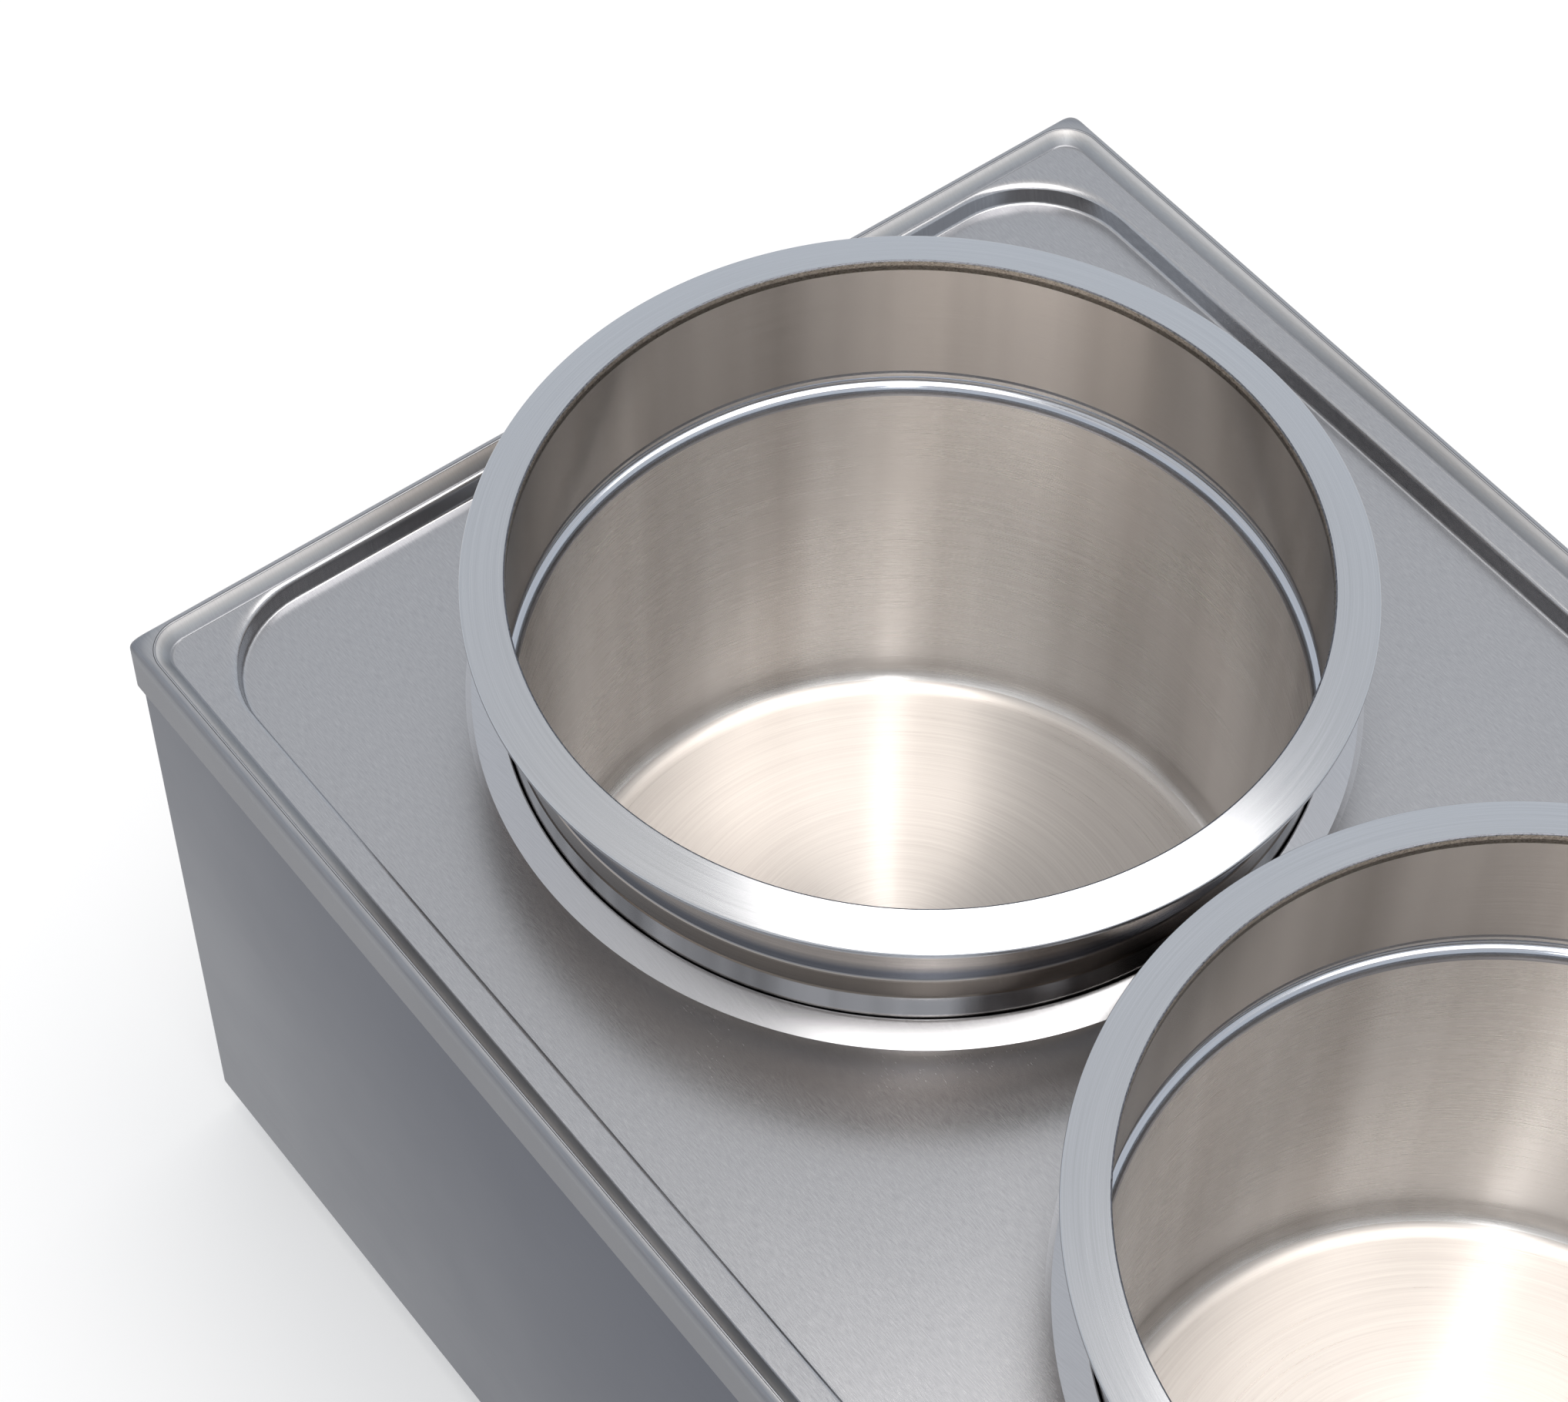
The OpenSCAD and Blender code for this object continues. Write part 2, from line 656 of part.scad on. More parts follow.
// Switch housing: bezel, box behind the panel and two terminals
module switch_housing() {
  box_w = switch_w - 3 - 2 * screw_fit;
  box_h = switch_h - 3 - 2 * screw_fit;
  color([0.08, 0.08, 0.09]) place() difference() {
    union() {
      translate([switch_x - switch_w / 2, face_y - bezel_t, control_z - switch_h / 2])
        cube([switch_w, bezel_t, switch_h]);
      translate([switch_x - box_w / 2, face_y, control_z - box_h / 2]) cube([box_w, 22, box_h]);
      for (z = [-8, 8]) translate([switch_x - 0.4, face_y + 22, control_z + z - 3]) cube([0.8, 8, 6]);
    }
    translate([switch_x - rocker_w / 2 - rocker_gap, face_y - bezel_t - cut, control_z - rocker_h / 2 - 1])
      cube([rocker_w + 2 * rocker_gap, bezel_t + cut + 16, rocker_h + 2]);
    translate([switch_x - rocker_w / 2 - 1.5, pivot_y, control_z]) rotate([0, 90, 0])
      cylinder(h = rocker_w + 3, r = pivot_r + run_fit);
  }
}

// Rocker paddle with its two pivot pins, tilted to its off position
module switch_rocker() {
  reach = pivot_y - face_y + bezel_t;
  half = rocker_h / 2;
  color([0.7, 0.08, 0.06]) place() translate([switch_x, pivot_y, control_z]) rotate([rocker_tilt, 0, 0]) {
    rotate([90, 0, 90]) translate([0, 0, -rocker_w / 2]) linear_extrude(rocker_w)
      polygon([
        [-reach + 0.5, 0], [-reach - 1.2, half - 0.6], [-reach + 1.5, half], [1, half - 1.5],
        [5, 4], [5, -4], [1, -half + 1.5], [-reach + 1.5, -half], [-reach - 1.2, -half + 0.6]
      ]);
    translate([-rocker_w / 2 - 1, 0, 0]) rotate([0, 90, 0]) cylinder(h = rocker_w + 2, r = pivot_r);
  }
}

// Pilot lamps
lamp_bezel = 1.8;
lens_r = lamp_r - 0.8;

// Lamp body with its bezel, at x
module lamp_body(x) {
  color([0.75, 0.76, 0.78]) place() {
    difference() {
      union() {
        rod_y(x, control_z, face_y - lamp_bezel, lamp_bezel, lamp_r + 1.8);
        rod_y(x, control_z, face_y, 18, lamp_r);
      }
      rod_y(x, control_z, face_y - lamp_bezel - cut, lamp_bezel + cut + 4, lens_r + run_fit);
    }
    for (s = [-2, 2]) translate([x + s - 0.4, face_y + 18, control_z - 1.5]) cube([0.8, 6, 3]);
  }
}

// Domed lens of a lamp, at x
module lamp_lens(x, c) {
  color(c) place() {
    rod_y(x, control_z, face_y - lamp_bezel, lamp_bezel + 4, lens_r);
    translate([x, face_y - lamp_bezel, control_z]) rotate([90, 0, 0]) intersection() {
      translate([0, 0, -lens_r]) sphere(r = lens_r * sqrt(2));
      cylinder(h = lens_r, r = lens_r);
    }
  }
}

// Nuts that hold the lamps behind the panel
module lamp_nuts() {
  color([0.75, 0.76, 0.78]) place() for (x = lamp_xs) difference() {
    translate([x, inner_y, control_z]) rotate([-90, 0, 0]) hex(2 * lamp_r + 4, 3);
    rod_y(x, control_z, inner_y - cut, 3 + 2 * cut, lamp_r + run_fit);
  }
}

// Over-temperature cut-out
cutout_y = leg_y - 50;

// Disc thermostat held flat against the tank's floor
module overheat_cutout() {
  color([0.16, 0.15, 0.15]) place() translate([0, cutout_y, 0]) {
    translate([0, 0, tank_under - 9]) cylinder(h = 9, r = 8);
    translate([-12, -4, tank_under - 1.2]) cube([24, 8, 1.2]);
    for (x = [-4, 4]) translate([x - 0.4, -3, tank_under - 16]) cube([0.8, 6, 7]);
  }
}

// Mains terminals, on the base plate near the gland
block_w = 42;
block_l = 20;
block_h = 18;
block_y = case_l / 2 - 46;
earth_x = gland_x + 24;
earth_y = case_l / 2 - 90;

// Three-way terminal block
module terminal_block() {
  color([0.9, 0.9, 0.88]) place() translate([gland_x - 60, block_y, floor_z]) difference() {
    block(block_w, block_l, 0, block_h);
    for (i = [-1, 0, 1]) {
      translate([i * 13, 5, block_h - 8]) cylinder(h = 8 + cut, r = 2.2);
      translate([i * 13, -5, block_h - 8]) cylinder(h = 8 + cut, r = 2.2);
      rod_y(i * 13, 6, -block_l, 2 * block_l, 2);
    }
  }
}

// Clamp screws of the terminal block
module terminal_screws() {
  color([0.75, 0.68, 0.4]) place() translate([gland_x - 60, block_y, floor_z])
    for (i = [-1, 0, 1], y = [-5, 5]) translate([i * 13, y, block_h - 8]) difference() {
      cylinder(h = 6, r = 2.2 - fit / 2);
      translate([-3, -0.4, 5]) cube([6, 0.8, 2]);
    }
}

// Earth stud through the base plate
module earth_stud() {
  color([0.78, 0.62, 0.3]) place() translate([earth_x, earth_y, base_z]) {
    cylinder(h = sheet_t + 18, r = m5_r);
    translate([0, 0, -2]) cylinder(h = 2, r = 5);
  }
}

// Two nuts on the earth stud
module earth_nuts() {
  color([0.78, 0.62, 0.3]) place()
  for (z = [0, 8]) translate([earth_x, earth_y, floor_z + z]) difference() {
    hex(8, 4);
    translate([0, 0, -cut]) cylinder(h = 4 + 2 * cut, r = m5_r + run_fit);
  }
}

// Cable gland through the rear sheet
module cable_gland() {
  back_y = case_l / 2;
  color([0.1, 0.1, 0.11]) place() difference() {
    union() {
      translate([gland_x, back_y, control_z]) rotate([-90, 0, 0]) hex(2 * gland_r, 6);
      translate([gland_x, back_y + 6, control_z]) rotate([-90, 0, 0])
        cylinder(h = gland_out - 6, r1 = gland_r - 0.5, r2 = gland_r - 2.5);
      rod_y(gland_x, control_z, back_y - 12, 12, gland_r - 2);
    }
    rod_y(gland_x, control_z, back_y - 12 - cut, 12 + gland_out + 2 * cut, gland_bore);
  }
}

// Locknut of the gland, inside the rear sheet
module gland_nut() {
  color([0.1, 0.1, 0.11]) place() difference() {
    translate([gland_x, case_l / 2 - sheet_t - 4, control_z]) rotate([-90, 0, 0]) hex(2 * gland_r, 4);
    rod_y(gland_x, control_z, case_l / 2 - sheet_t - 4 - cut, 4 + 2 * cut, gland_r - 2 + run_fit);
  }
}

// Path of the drain from the tank's floor down and forward, as a solid of radius r
module drain_path(r, top, front) {
  translate([0, drain_y, control_z + drain_bend]) cylinder(h = top - control_z - drain_bend, r = r);
  translate([0, drain_y - drain_bend, control_z + drain_bend]) rotate([90, 0, 90]) rotate(-90)
    rotate_extrude(angle = 90) translate([drain_bend, 0]) circle(r);
  rod_y(0, control_z, front, drain_y - drain_bend - front, r);
}

drain_flange_t = 1.5;
pipe_end = face_y - 8;

// Drain fitting: flange in the tank, elbow, and pipe to the tap
module drain_elbow() {
  top = tank_floor + gasket_t + drain_flange_t;
  color([0.7, 0.7, 0.72]) place() difference() {
    union() {
      drain_path(pipe_r, top, pipe_end);
      translate([0, drain_y, tank_floor + gasket_t]) cylinder(h = drain_flange_t, r = pipe_r + 5);
    }
    drain_path(bore_r, top + cut, pipe_end - cut);
  }
}

// Rubber washer under the drain's flange
module drain_gasket() {
  color([0.55, 0.16, 0.12]) place() translate([0, drain_y, tank_floor]) difference() {
    cylinder(h = gasket_t, r = pipe_r + 5);
    translate([0, 0, -cut]) cylinder(h = gasket_t + 2 * cut, r = pipe_r + screw_fit);
  }
}

// Nut under the tank's floor
module drain_nut() {
  color([0.7, 0.7, 0.72]) place() translate([0, drain_y, tank_under - 5]) difference() {
    hex(2 * pipe_r + 6, 5);
    translate([0, 0, -cut]) cylinder(h = 5 + 2 * cut, r = pipe_r + run_fit);
  }
}

cavity_r = ball_r + 0.4;
barrel_r = cavity_r + 3.6;
spout_stop = control_z - barrel_r - 2.5;
seat_len = 3;

// Tap body: hexagon against the panel, barrel round the ball, spout and stem boss
module tap_body() {
  color([0.8, 0.8, 0.82]) place() difference() {
    union() {
      translate([0, face_y - 9, control_z]) rotate([-90, 0, 0]) hex(2 * barrel_r + 1, 9);
      rod_y(0, control_z, valve_y - cavity_r - 3, valve_out + cavity_r - 3, barrel_r);
      rod_y(0, control_z, spout_y, spout_out, pipe_r + 1);
      translate([0, spout_y, control_z]) sphere(r = pipe_r + 1);
      translate([0, spout_y, spout_mouth]) cylinder(h = control_z - spout_mouth, r = pipe_r);
      translate([0, spout_y, spout_stop]) cylinder(h = control_z - spout_stop, r = pipe_r + 1);
      translate([0, valve_y, control_z]) cylinder(h = boss_top - control_z, r = stem_r + 3.5);
    }
    rod_y(0, control_z, spout_y, face_y - spout_y + cut, bore_r);
    rod_y(0, control_z, pipe_end, face_y - pipe_end + cut, pipe_r + run_fit);
    translate([0, valve_y, control_z]) sphere(r = cavity_r);
    rod_y(0, control_z, valve_y - cavity_r, 2 * cavity_r, bore_r + 2.2);
    translate([0, spout_y, spout_mouth - cut]) cylinder(h = control_z - spout_mouth + cut, r = bore_r);
    translate([0, spout_y, control_z]) sphere(r = bore_r);
    translate([0, valve_y, control_z]) cylinder(h = boss_top - control_z + cut, r = stem_r + run_fit);
  }
}

// Two seal rings each side of the ball
module tap_seats() {
  color([0.93, 0.93, 0.9]) place() for (s = [-1, 1]) difference() {
    rod_y(0, control_z, valve_y + s * (cavity_r - seat_len / 2) - seat_len / 2, seat_len,
      bore_r + 2.2 - run_fit);
    rod_y(0, control_z, valve_y - 2 * ball_r, 4 * ball_r, bore_r);
    translate([0, valve_y, control_z]) sphere(r = ball_r + run_fit);
  }
}

// Ball, closed at rest: its bore lies across the flow
module tap_ball() {
  color([0.85, 0.85, 0.87]) place() translate([0, valve_y, control_z]) difference() {
    sphere(r = ball_r);
    rotate([0, 90, 0]) translate([0, 0, -2 * ball_r]) cylinder(h = 4 * ball_r, r = bore_r);
    translate([-5, -1.5, ball_r - 2]) cube([10, 3, 5]);
  }
}

// Stem with a flat key in the ball's slot and a square for the lever
module tap_stem() {
  color([0.75, 0.75, 0.77]) place() translate([0, valve_y, control_z]) {
    translate([0, 0, ball_r + run_fit])
      cylinder(h = boss_top - control_z - ball_r + lever_gap - run_fit, r = stem_r);
    translate([-2.2, -1.4, ball_r - 1.9]) cube([4.4, 2.8, 2.9]);
    translate([-1.8, -1.8, boss_top - control_z + lever_gap]) cube([3.6, 3.6, lever_t]);
    translate([0, 0, boss_top - control_z + lever_gap + lever_t]) cylinder(h = 5, r = 1.7);
  }
}

lever_z = boss_top + lever_gap;

// Flat lever, across the flow when the tap is closed
module tap_lever() {
  color([0.75, 0.75, 0.77]) place() translate([0, valve_y, lever_z]) difference() {
    union() {
      cylinder(h = lever_t, r = 7);
      translate([0, -5, 0]) cube([lever_l - 5, 10, lever_t]);
      translate([lever_l - 5, 0, 0]) cylinder(h = lever_t, r = 5);
    }
    translate([-1.9, -1.9, -cut]) cube([3.8, 3.8, lever_t + 2 * cut]);
  }
}

// Plastic sleeve on the lever
module tap_grip() {
  start = lever_l * 0.4;
  color([0.1, 0.25, 0.6]) place() translate([0, valve_y, lever_z]) difference() {
    union() {
      translate([start, -6.5, -1.5]) cube([lever_l - 5 - start, 13, lever_t + 3]);
      translate([lever_l - 5, 0, -1.5]) cylinder(h = lever_t + 3, r = 6.5);
    }
    translate([start - cut, -5 - fit, 0]) cube([lever_l - 5 - start + cut, 10 + 2 * fit, lever_t]);
    translate([lever_l - 5, 0, 0]) cylinder(h = lever_t, r = 5 + fit);
  }
}

// Nut that holds the lever on the stem
module tap_nut() {
  color([0.75, 0.75, 0.77]) place() translate([0, valve_y, lever_z + lever_t]) difference() {
    hex(7, 3);
    translate([0, 0, -cut]) cylinder(h = 3 + 2 * cut, r = 1.7 + run_fit);
  }
}

// Outline of a pot's wall in plan r, z, with z counted from the flange's outer edge
module pot_section() {
  lip_r = 1.5;
  lip_c = neck_r - lip_in + lip_r;
  body_in = body_r - pot_t;
  step_z = -neck_h - groove_h;
  low_z = step_z - shoulder_h;
  polygon(concat(
    [[0, -pot_depth - pot_t]],
    arc(body_r - pot_fillet - pot_t, -pot_depth + pot_fillet, pot_fillet + pot_t, -90, 0, 8),
    [[body_r, low_z], [neck_r, step_z]],
    [[neck_r, flange_rise - flange_t - 0.8], [rim_r, -flange_t], [rim_r, 0]],
    arc(lip_c, flange_rise - lip_r, lip_r, 80, 200, 8),
    [[neck_in, -0.9], [neck_in, -neck_h], [neck_in + groove_d, -neck_h - 0.8],
     [neck_in + groove_d, step_z + 0.6]],
    [[neck_in - 0.4, step_z - 0.3]],
    arc(body_in + 1.6, low_z, 1.6, 120, 180, 4),
    arc(body_in - pot_fillet, -pot_depth + pot_fillet, pot_fillet, 0, -90, 8),
    [[0, -pot_depth]]
  ));
}

// One lift-out pot on the axis at y
module pot(y) {
  color([0.78, 0.78, 0.79]) place() translate([0, y, rim_z]) rotate_extrude($fn = 180) pot_section();
}

top_deck();
water_tank();
casing_left();
casing_right();
casing_rear();
front_panel();
base_plate();
foot(0);  // foot_front_left
foot(1);  // foot_front_right
foot(2);  // foot_rear_left
foot(3);  // foot_rear_right
foot_screws();
foot_nuts();
base_screws();
heating_element();
element_bushes();
element_gaskets();
element_nuts();
element_clips();
thermostat_body();
thermostat_bulb();
bulb_clips();
thermostat_screws();
thermostat_spindle();
control_knob();
switch_housing();
switch_rocker();
lamp_body(lamp_xs[0]);  // lamp_body_power
lamp_lens(lamp_xs[0], [0.1, 0.6, 0.2]);  // lamp_lens_power
lamp_body(lamp_xs[1]);  // lamp_body_heat
lamp_lens(lamp_xs[1], [0.85, 0.45, 0.08]);  // lamp_lens_heat
lamp_nuts();
overheat_cutout();
terminal_block();
terminal_screws();
earth_stud();
earth_nuts();
cable_gland();
gland_nut();
drain_elbow();
drain_gasket();
drain_nut();
tap_body();
tap_seats();
tap_ball();
tap_stem();
tap_lever();
tap_grip();
tap_nut();
pot(-pitch / 2);  // pot_front
pot(pitch / 2);  // pot_rear
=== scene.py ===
"""Looks of the countertop bain marie: finishes, the pressed and spun sheet pieces, and a plain studio.

Lengths are in metres in the CAD frame: +Z up, the controls face -Y, and the origin lies on the counter.
"""

import json

import bpy
import numpy as np
from mathutils import Matrix, Vector
from bpy.props import FloatProperty, FloatVectorProperty, IntProperty, PointerProperty, StringProperty


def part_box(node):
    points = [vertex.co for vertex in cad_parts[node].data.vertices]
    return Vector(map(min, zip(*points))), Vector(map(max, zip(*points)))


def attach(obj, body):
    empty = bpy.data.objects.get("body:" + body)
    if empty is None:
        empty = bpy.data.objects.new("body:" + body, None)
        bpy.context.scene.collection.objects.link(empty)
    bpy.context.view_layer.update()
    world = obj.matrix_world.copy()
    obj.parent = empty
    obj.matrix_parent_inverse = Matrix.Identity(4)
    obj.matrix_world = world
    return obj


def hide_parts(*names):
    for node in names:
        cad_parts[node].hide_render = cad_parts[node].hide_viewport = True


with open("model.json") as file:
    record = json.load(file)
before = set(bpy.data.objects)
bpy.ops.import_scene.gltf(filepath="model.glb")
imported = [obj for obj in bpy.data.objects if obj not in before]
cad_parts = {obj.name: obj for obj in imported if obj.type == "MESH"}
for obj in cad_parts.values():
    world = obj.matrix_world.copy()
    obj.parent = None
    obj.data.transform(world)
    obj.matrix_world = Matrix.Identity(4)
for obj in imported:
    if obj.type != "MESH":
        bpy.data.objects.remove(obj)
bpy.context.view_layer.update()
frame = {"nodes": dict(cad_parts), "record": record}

bl_info = {
    "name": "Bain marie looks",
    "version": (1, 0, 0),
    "blender": (4, 5, 0),
    "location": "View3D > Sidebar > Bain marie",
    "description": "Builds the sheet metal, pots, controls and studio around the CAD frame",
    "category": "Object",
}

MM = 0.001
# Smaller than any step between two lines of a section
TINY = 1e-5


# Colours and nodes


def linear(code):
    """Linear RGBA of an sRGB hex colour: c / 12.92 up to 0.04045, ((c + 0.055) / 1.055) ** 2.4 above."""
    c = np.array([int(code[i : i + 2], 16) for i in (1, 3, 5)]) / 255.0
    c = np.where(c <= 0.04045, c / 12.92, ((c + 0.055) / 1.055) ** 2.4)
    return (*map(float, c), 1.0)


def add(tree, kind, inputs=None, **settings):
    """Adds one node, sets its properties, and fills or links its inputs."""
    node = tree.nodes.new(kind)
    for key, value in settings.items():
        setattr(node, key, value)
    for key, value in (inputs or {}).items():
        if isinstance(value, bpy.types.NodeSocket):
            tree.links.new(value, node.inputs[key])
        else:
            node.inputs[key].default_value = value
    return node


def shader(name, color, metallic=0.0, roughness=0.5, **sockets):
    """A material with one Principled shader; uniform values sit on the shader's own sockets."""
    mat = bpy.data.materials.new(name)
    mat.use_nodes = True
    tree = mat.node_tree
    bsdf = tree.nodes["Principled BSDF"]
    bsdf.inputs["Base Color"].default_value = linear(color)
    bsdf.inputs["Metallic"].default_value = metallic
    bsdf.inputs["Roughness"].default_value = roughness
    for key, value in sockets.items():
        bsdf.inputs[key.replace("_", " ")].default_value = value
    mat.diffuse_color = linear(color)
    return mat, tree, bsdf


def ramp(tree, fac, stops):
    """Colour ramp node through (position, hex colour) stops."""
    node = add(tree, "ShaderNodeValToRGB", {"Fac": fac})
    band = node.color_ramp
    while len(band.elements) < len(stops):
        band.elements.new(0.5)
    for element, (place, code) in zip(band.elements, stops):
        element.position = place
        element.color = linear(code)
    return node.outputs["Color"]


def remap(tree, value, low, high, frm=(0.3, 0.7)):
    """Value carried linearly from the range frm to low..high and clamped."""
    return add(tree, "ShaderNodeMapRange", {"Value": value, "From Min": frm[0], "From Max": frm[1],
               "To Min": low, "To Max": high}).outputs["Result"]


def brushed(name, pale, dark, roughness, grain=0.00035, length=0.06, bump=0.00001, anisotropic=0.7,
            turned=True, smudge=0.04, spread=0.05, streaks=0.0, around=2.6, zones=None):
    """Brushed metal whose hairlines run along the UV map's U, grain metres apart and length metres long.

    On turned pieces the hairlines are rings: they vary with the arc length V, and slowly round the axis.
    bump is their height in metres. spread and smudge are how far the hairlines and the wear patches change
    the roughness. streaks is how far the tone follows soft streaks by the angle round a turned piece, which
    are painted reflections, and around is how many streaks a radian holds. zones are (height, colour) stops
    of painted light and shade that shade the grain's own colours.
    """
    mat, tree, bsdf = shader(name, pale, 1.0, roughness, Anisotropic=anisotropic)
    uv = add(tree, "ShaderNodeUVMap", uv_map="grain")
    parts = add(tree, "ShaderNodeSeparateXYZ", {"Vector": uv.outputs["UV"]})
    place = add(tree, "ShaderNodeTexCoord").outputs["Object"]
    if turned:
        flat = add(tree, "ShaderNodeSeparateXYZ", {"Vector": place})
        slow = add(tree, "ShaderNodeCombineXYZ", {"X": flat.outputs["X"], "Y": flat.outputs["Y"]})
        slow = add(tree, "ShaderNodeVectorMath", {0: slow.outputs[0], "Scale": 1 / length}, operation="SCALE")
        fast = add(tree, "ShaderNodeMath", {0: parts.outputs["Y"], 1: 1 / grain}, operation="MULTIPLY")
        deep = add(tree, "ShaderNodeCombineXYZ", {"Z": fast.outputs[0]})
        domain = add(tree, "ShaderNodeVectorMath", {0: slow.outputs[0], 1: deep.outputs[0]}, operation="ADD")
    else:
        domain = add(tree, "ShaderNodeVectorMath", {0: uv.outputs["UV"], 1: (1 / length, 1 / grain, 0)},
                     operation="MULTIPLY")
    hairs = {"Vector": domain.outputs[0], "Scale": 1.0, "Detail": 3.0, "Roughness": 0.65}
    lines = add(tree, "ShaderNodeTexNoise", hairs).outputs["Fac"]
    # Worn patches about 70 mm across
    patches = {"Vector": place, "Scale": 14.0, "Detail": 4.0, "Roughness": 0.6}
    wear_and_painted_highlight = add(tree, "ShaderNodeTexNoise", patches).outputs["Fac"]
    tone = remap(tree, lines, 0.0, 1.0)
    if streaks:
        # Tall soft streaks of tone, painted reflections such as spun steel shows of a room:
        # noise of the angle meets at the seam
        angle = add(tree, "ShaderNodeMath", {0: parts.outputs["X"], 1: 1 / RIM_R}, operation="MULTIPLY")
        east = add(tree, "ShaderNodeMath", {0: angle.outputs[0]}, operation="COSINE")
        north = add(tree, "ShaderNodeMath", {0: angle.outputs[0]}, operation="SINE")
        circle = add(tree, "ShaderNodeCombineXYZ", {"X": east.outputs[0], "Y": north.outputs[0]})
        tall = add(tree, "ShaderNodeTexNoise", {"Vector": circle.outputs[0], "Scale": around, "Detail": 3.0})
        tall = remap(tree, tall.outputs["Fac"], 0.0, 1.0, (0.35, 0.65))
        tone = add(tree, "ShaderNodeMix", {0: streaks, 2: tone, 3: tall}, data_type="FLOAT").outputs[0]
    color = ramp(tree, tone, [(0.0, dark), (1.0, pale)])
    # Height bands of painted light and shade, multiplied into the grain's colours
    if zones:
        low, high = zones[0][0], zones[-1][0]
        height = add(tree, "ShaderNodeSeparateXYZ", {"Vector": place}).outputs["Z"]
        bands = ramp(tree, remap(tree, height, 0.0, 1.0, (low, high)),
                     [((z - low) / (high - low), code) for z, code in zones])
        color = add(tree, "ShaderNodeMix", {0: 1.0, 6: color, 7: bands}, data_type="RGBA",
                    blend_type="MULTIPLY").outputs[2]
    tree.links.new(color, bsdf.inputs["Base Color"])
    rough = remap(tree, lines, roughness - spread, roughness + spread)
    blot = remap(tree, wear_and_painted_highlight, -smudge, smudge)
    total = add(tree, "ShaderNodeMath", {0: rough, 1: blot}, operation="ADD").outputs[0]
    tree.links.new(total, bsdf.inputs["Roughness"])
    relief = add(tree, "ShaderNodeBump", {"Height": lines, "Strength": 1.0, "Distance": bump})
    tree.links.new(relief.outputs["Normal"], bsdf.inputs["Normal"])
    along = add(tree, "ShaderNodeTangent", direction_type="UV_MAP", uv_map="grain")
    tree.links.new(along.outputs["Tangent"], bsdf.inputs["Tangent"])
    bsdf.inputs["Anisotropic Rotation"].default_value = 0.25
    return mat


# Shapes


def filleted(points, radii, steps=6):
    """Polyline with each inner corner replaced by its tangent arc.

    At corner p with unit directions a, b to its neighbours and half angle h between them, the arc of radius
    r touches the sides at p + a r / tan h and p + b r / tan h, and has its centre at
    p + (a + b) / |a + b| r / sin h. It takes at most 0.48 of either side, so two arcs never meet.
    """
    most, nearly_straight = 0.48, np.pi / 2 - 0.01
    points = np.array(points, float)
    out = [points[0]]
    for i in range(1, len(points) - 1):
        p, r = points[i], radii[i]
        a, b = points[i - 1] - p, points[i + 1] - p
        la, lb = np.linalg.norm(a), np.linalg.norm(b)
        a, b = a / la, b / lb
        half = np.arccos(np.clip(a @ b, -1, 1)) / 2
        if r <= 0 or half > nearly_straight:
            out.append(p)
            continue
        reach = min(r / np.tan(half), most * la, most * lb)
        r = reach * np.tan(half)
        centre = p + (a + b) / np.linalg.norm(a + b) * r / np.sin(half)
        start, end = p + a * reach - centre, p + b * reach - centre
        turn = np.arctan2(start[0] * end[1] - start[1] * end[0], start @ end)
        angles = np.arctan2(start[1], start[0]) + turn * np.linspace(0, 1, steps + 1)
        out.extend(centre + r * np.stack([np.cos(angles), np.sin(angles)], 1))
    out.append(points[-1])
    return np.array(out)


def arc_lengths(line):
    """Running length along a polyline: 0, |p1 - p0|, |p1 - p0| + |p2 - p1| and so on."""
    return np.concatenate([[0], np.cumsum(np.linalg.norm(np.diff(line, axis=0), axis=1))])


def grid_faces(rows, columns, closed):
    """Quads of a rows x columns grid, as vertex numbers; closed joins the last column to the first."""
    i, j = np.meshgrid(np.arange(rows - 1), np.arange(columns if closed else columns - 1), indexing="ij")
    k = (j + 1) % columns
    this, following = i * columns, (i + 1) * columns
    return np.stack([this + j, this + k, following + k, following + j], -1).reshape(-1, 4)


def make_mesh(name, verts, quads, uv, materials, slots=None, sharp=35.0):
    """Object from vertex and quad arrays, with the map called grain, smooth up to edges of sharp degrees.

    uv holds one pair per face corner, in metres. A quad whose last two numbers are equal is a triangle.
    """
    mesh = bpy.data.meshes.new(name)
    quads = np.asarray(quads)
    triangle = quads[:, 2] == quads[:, 3]
    keep = np.ones(quads.shape, bool)
    keep[triangle, 3] = False
    counts = keep.sum(1)
    mesh.vertices.add(len(verts))
    mesh.vertices.foreach_set("co", np.asarray(verts, np.float32).ravel())
    mesh.loops.add(int(counts.sum()))
    mesh.loops.foreach_set("vertex_index", quads[keep].astype(np.int32))
    mesh.polygons.add(len(quads))
    mesh.polygons.foreach_set("loop_start", np.concatenate([[0], np.cumsum(counts)[:-1]]).astype(np.int32))
    mesh.polygons.foreach_set("use_smooth", np.ones(len(quads), bool))
    if slots is not None:
        mesh.polygons.foreach_set("material_index", np.asarray(slots, np.int32))
    mesh.update(calc_edges=True)
    layer = mesh.uv_layers.new(name="grain")
    layer.data.foreach_set("uv", np.asarray(uv, np.float32).reshape(-1, 4, 2)[keep].ravel())
    mesh.validate()
    mesh.set_sharp_from_angle(angle=np.radians(sharp))
    for mat in materials:
        mesh.materials.append(mat)
    obj = bpy.data.objects.new(name, mesh)
    bpy.context.scene.collection.objects.link(obj)
    return obj


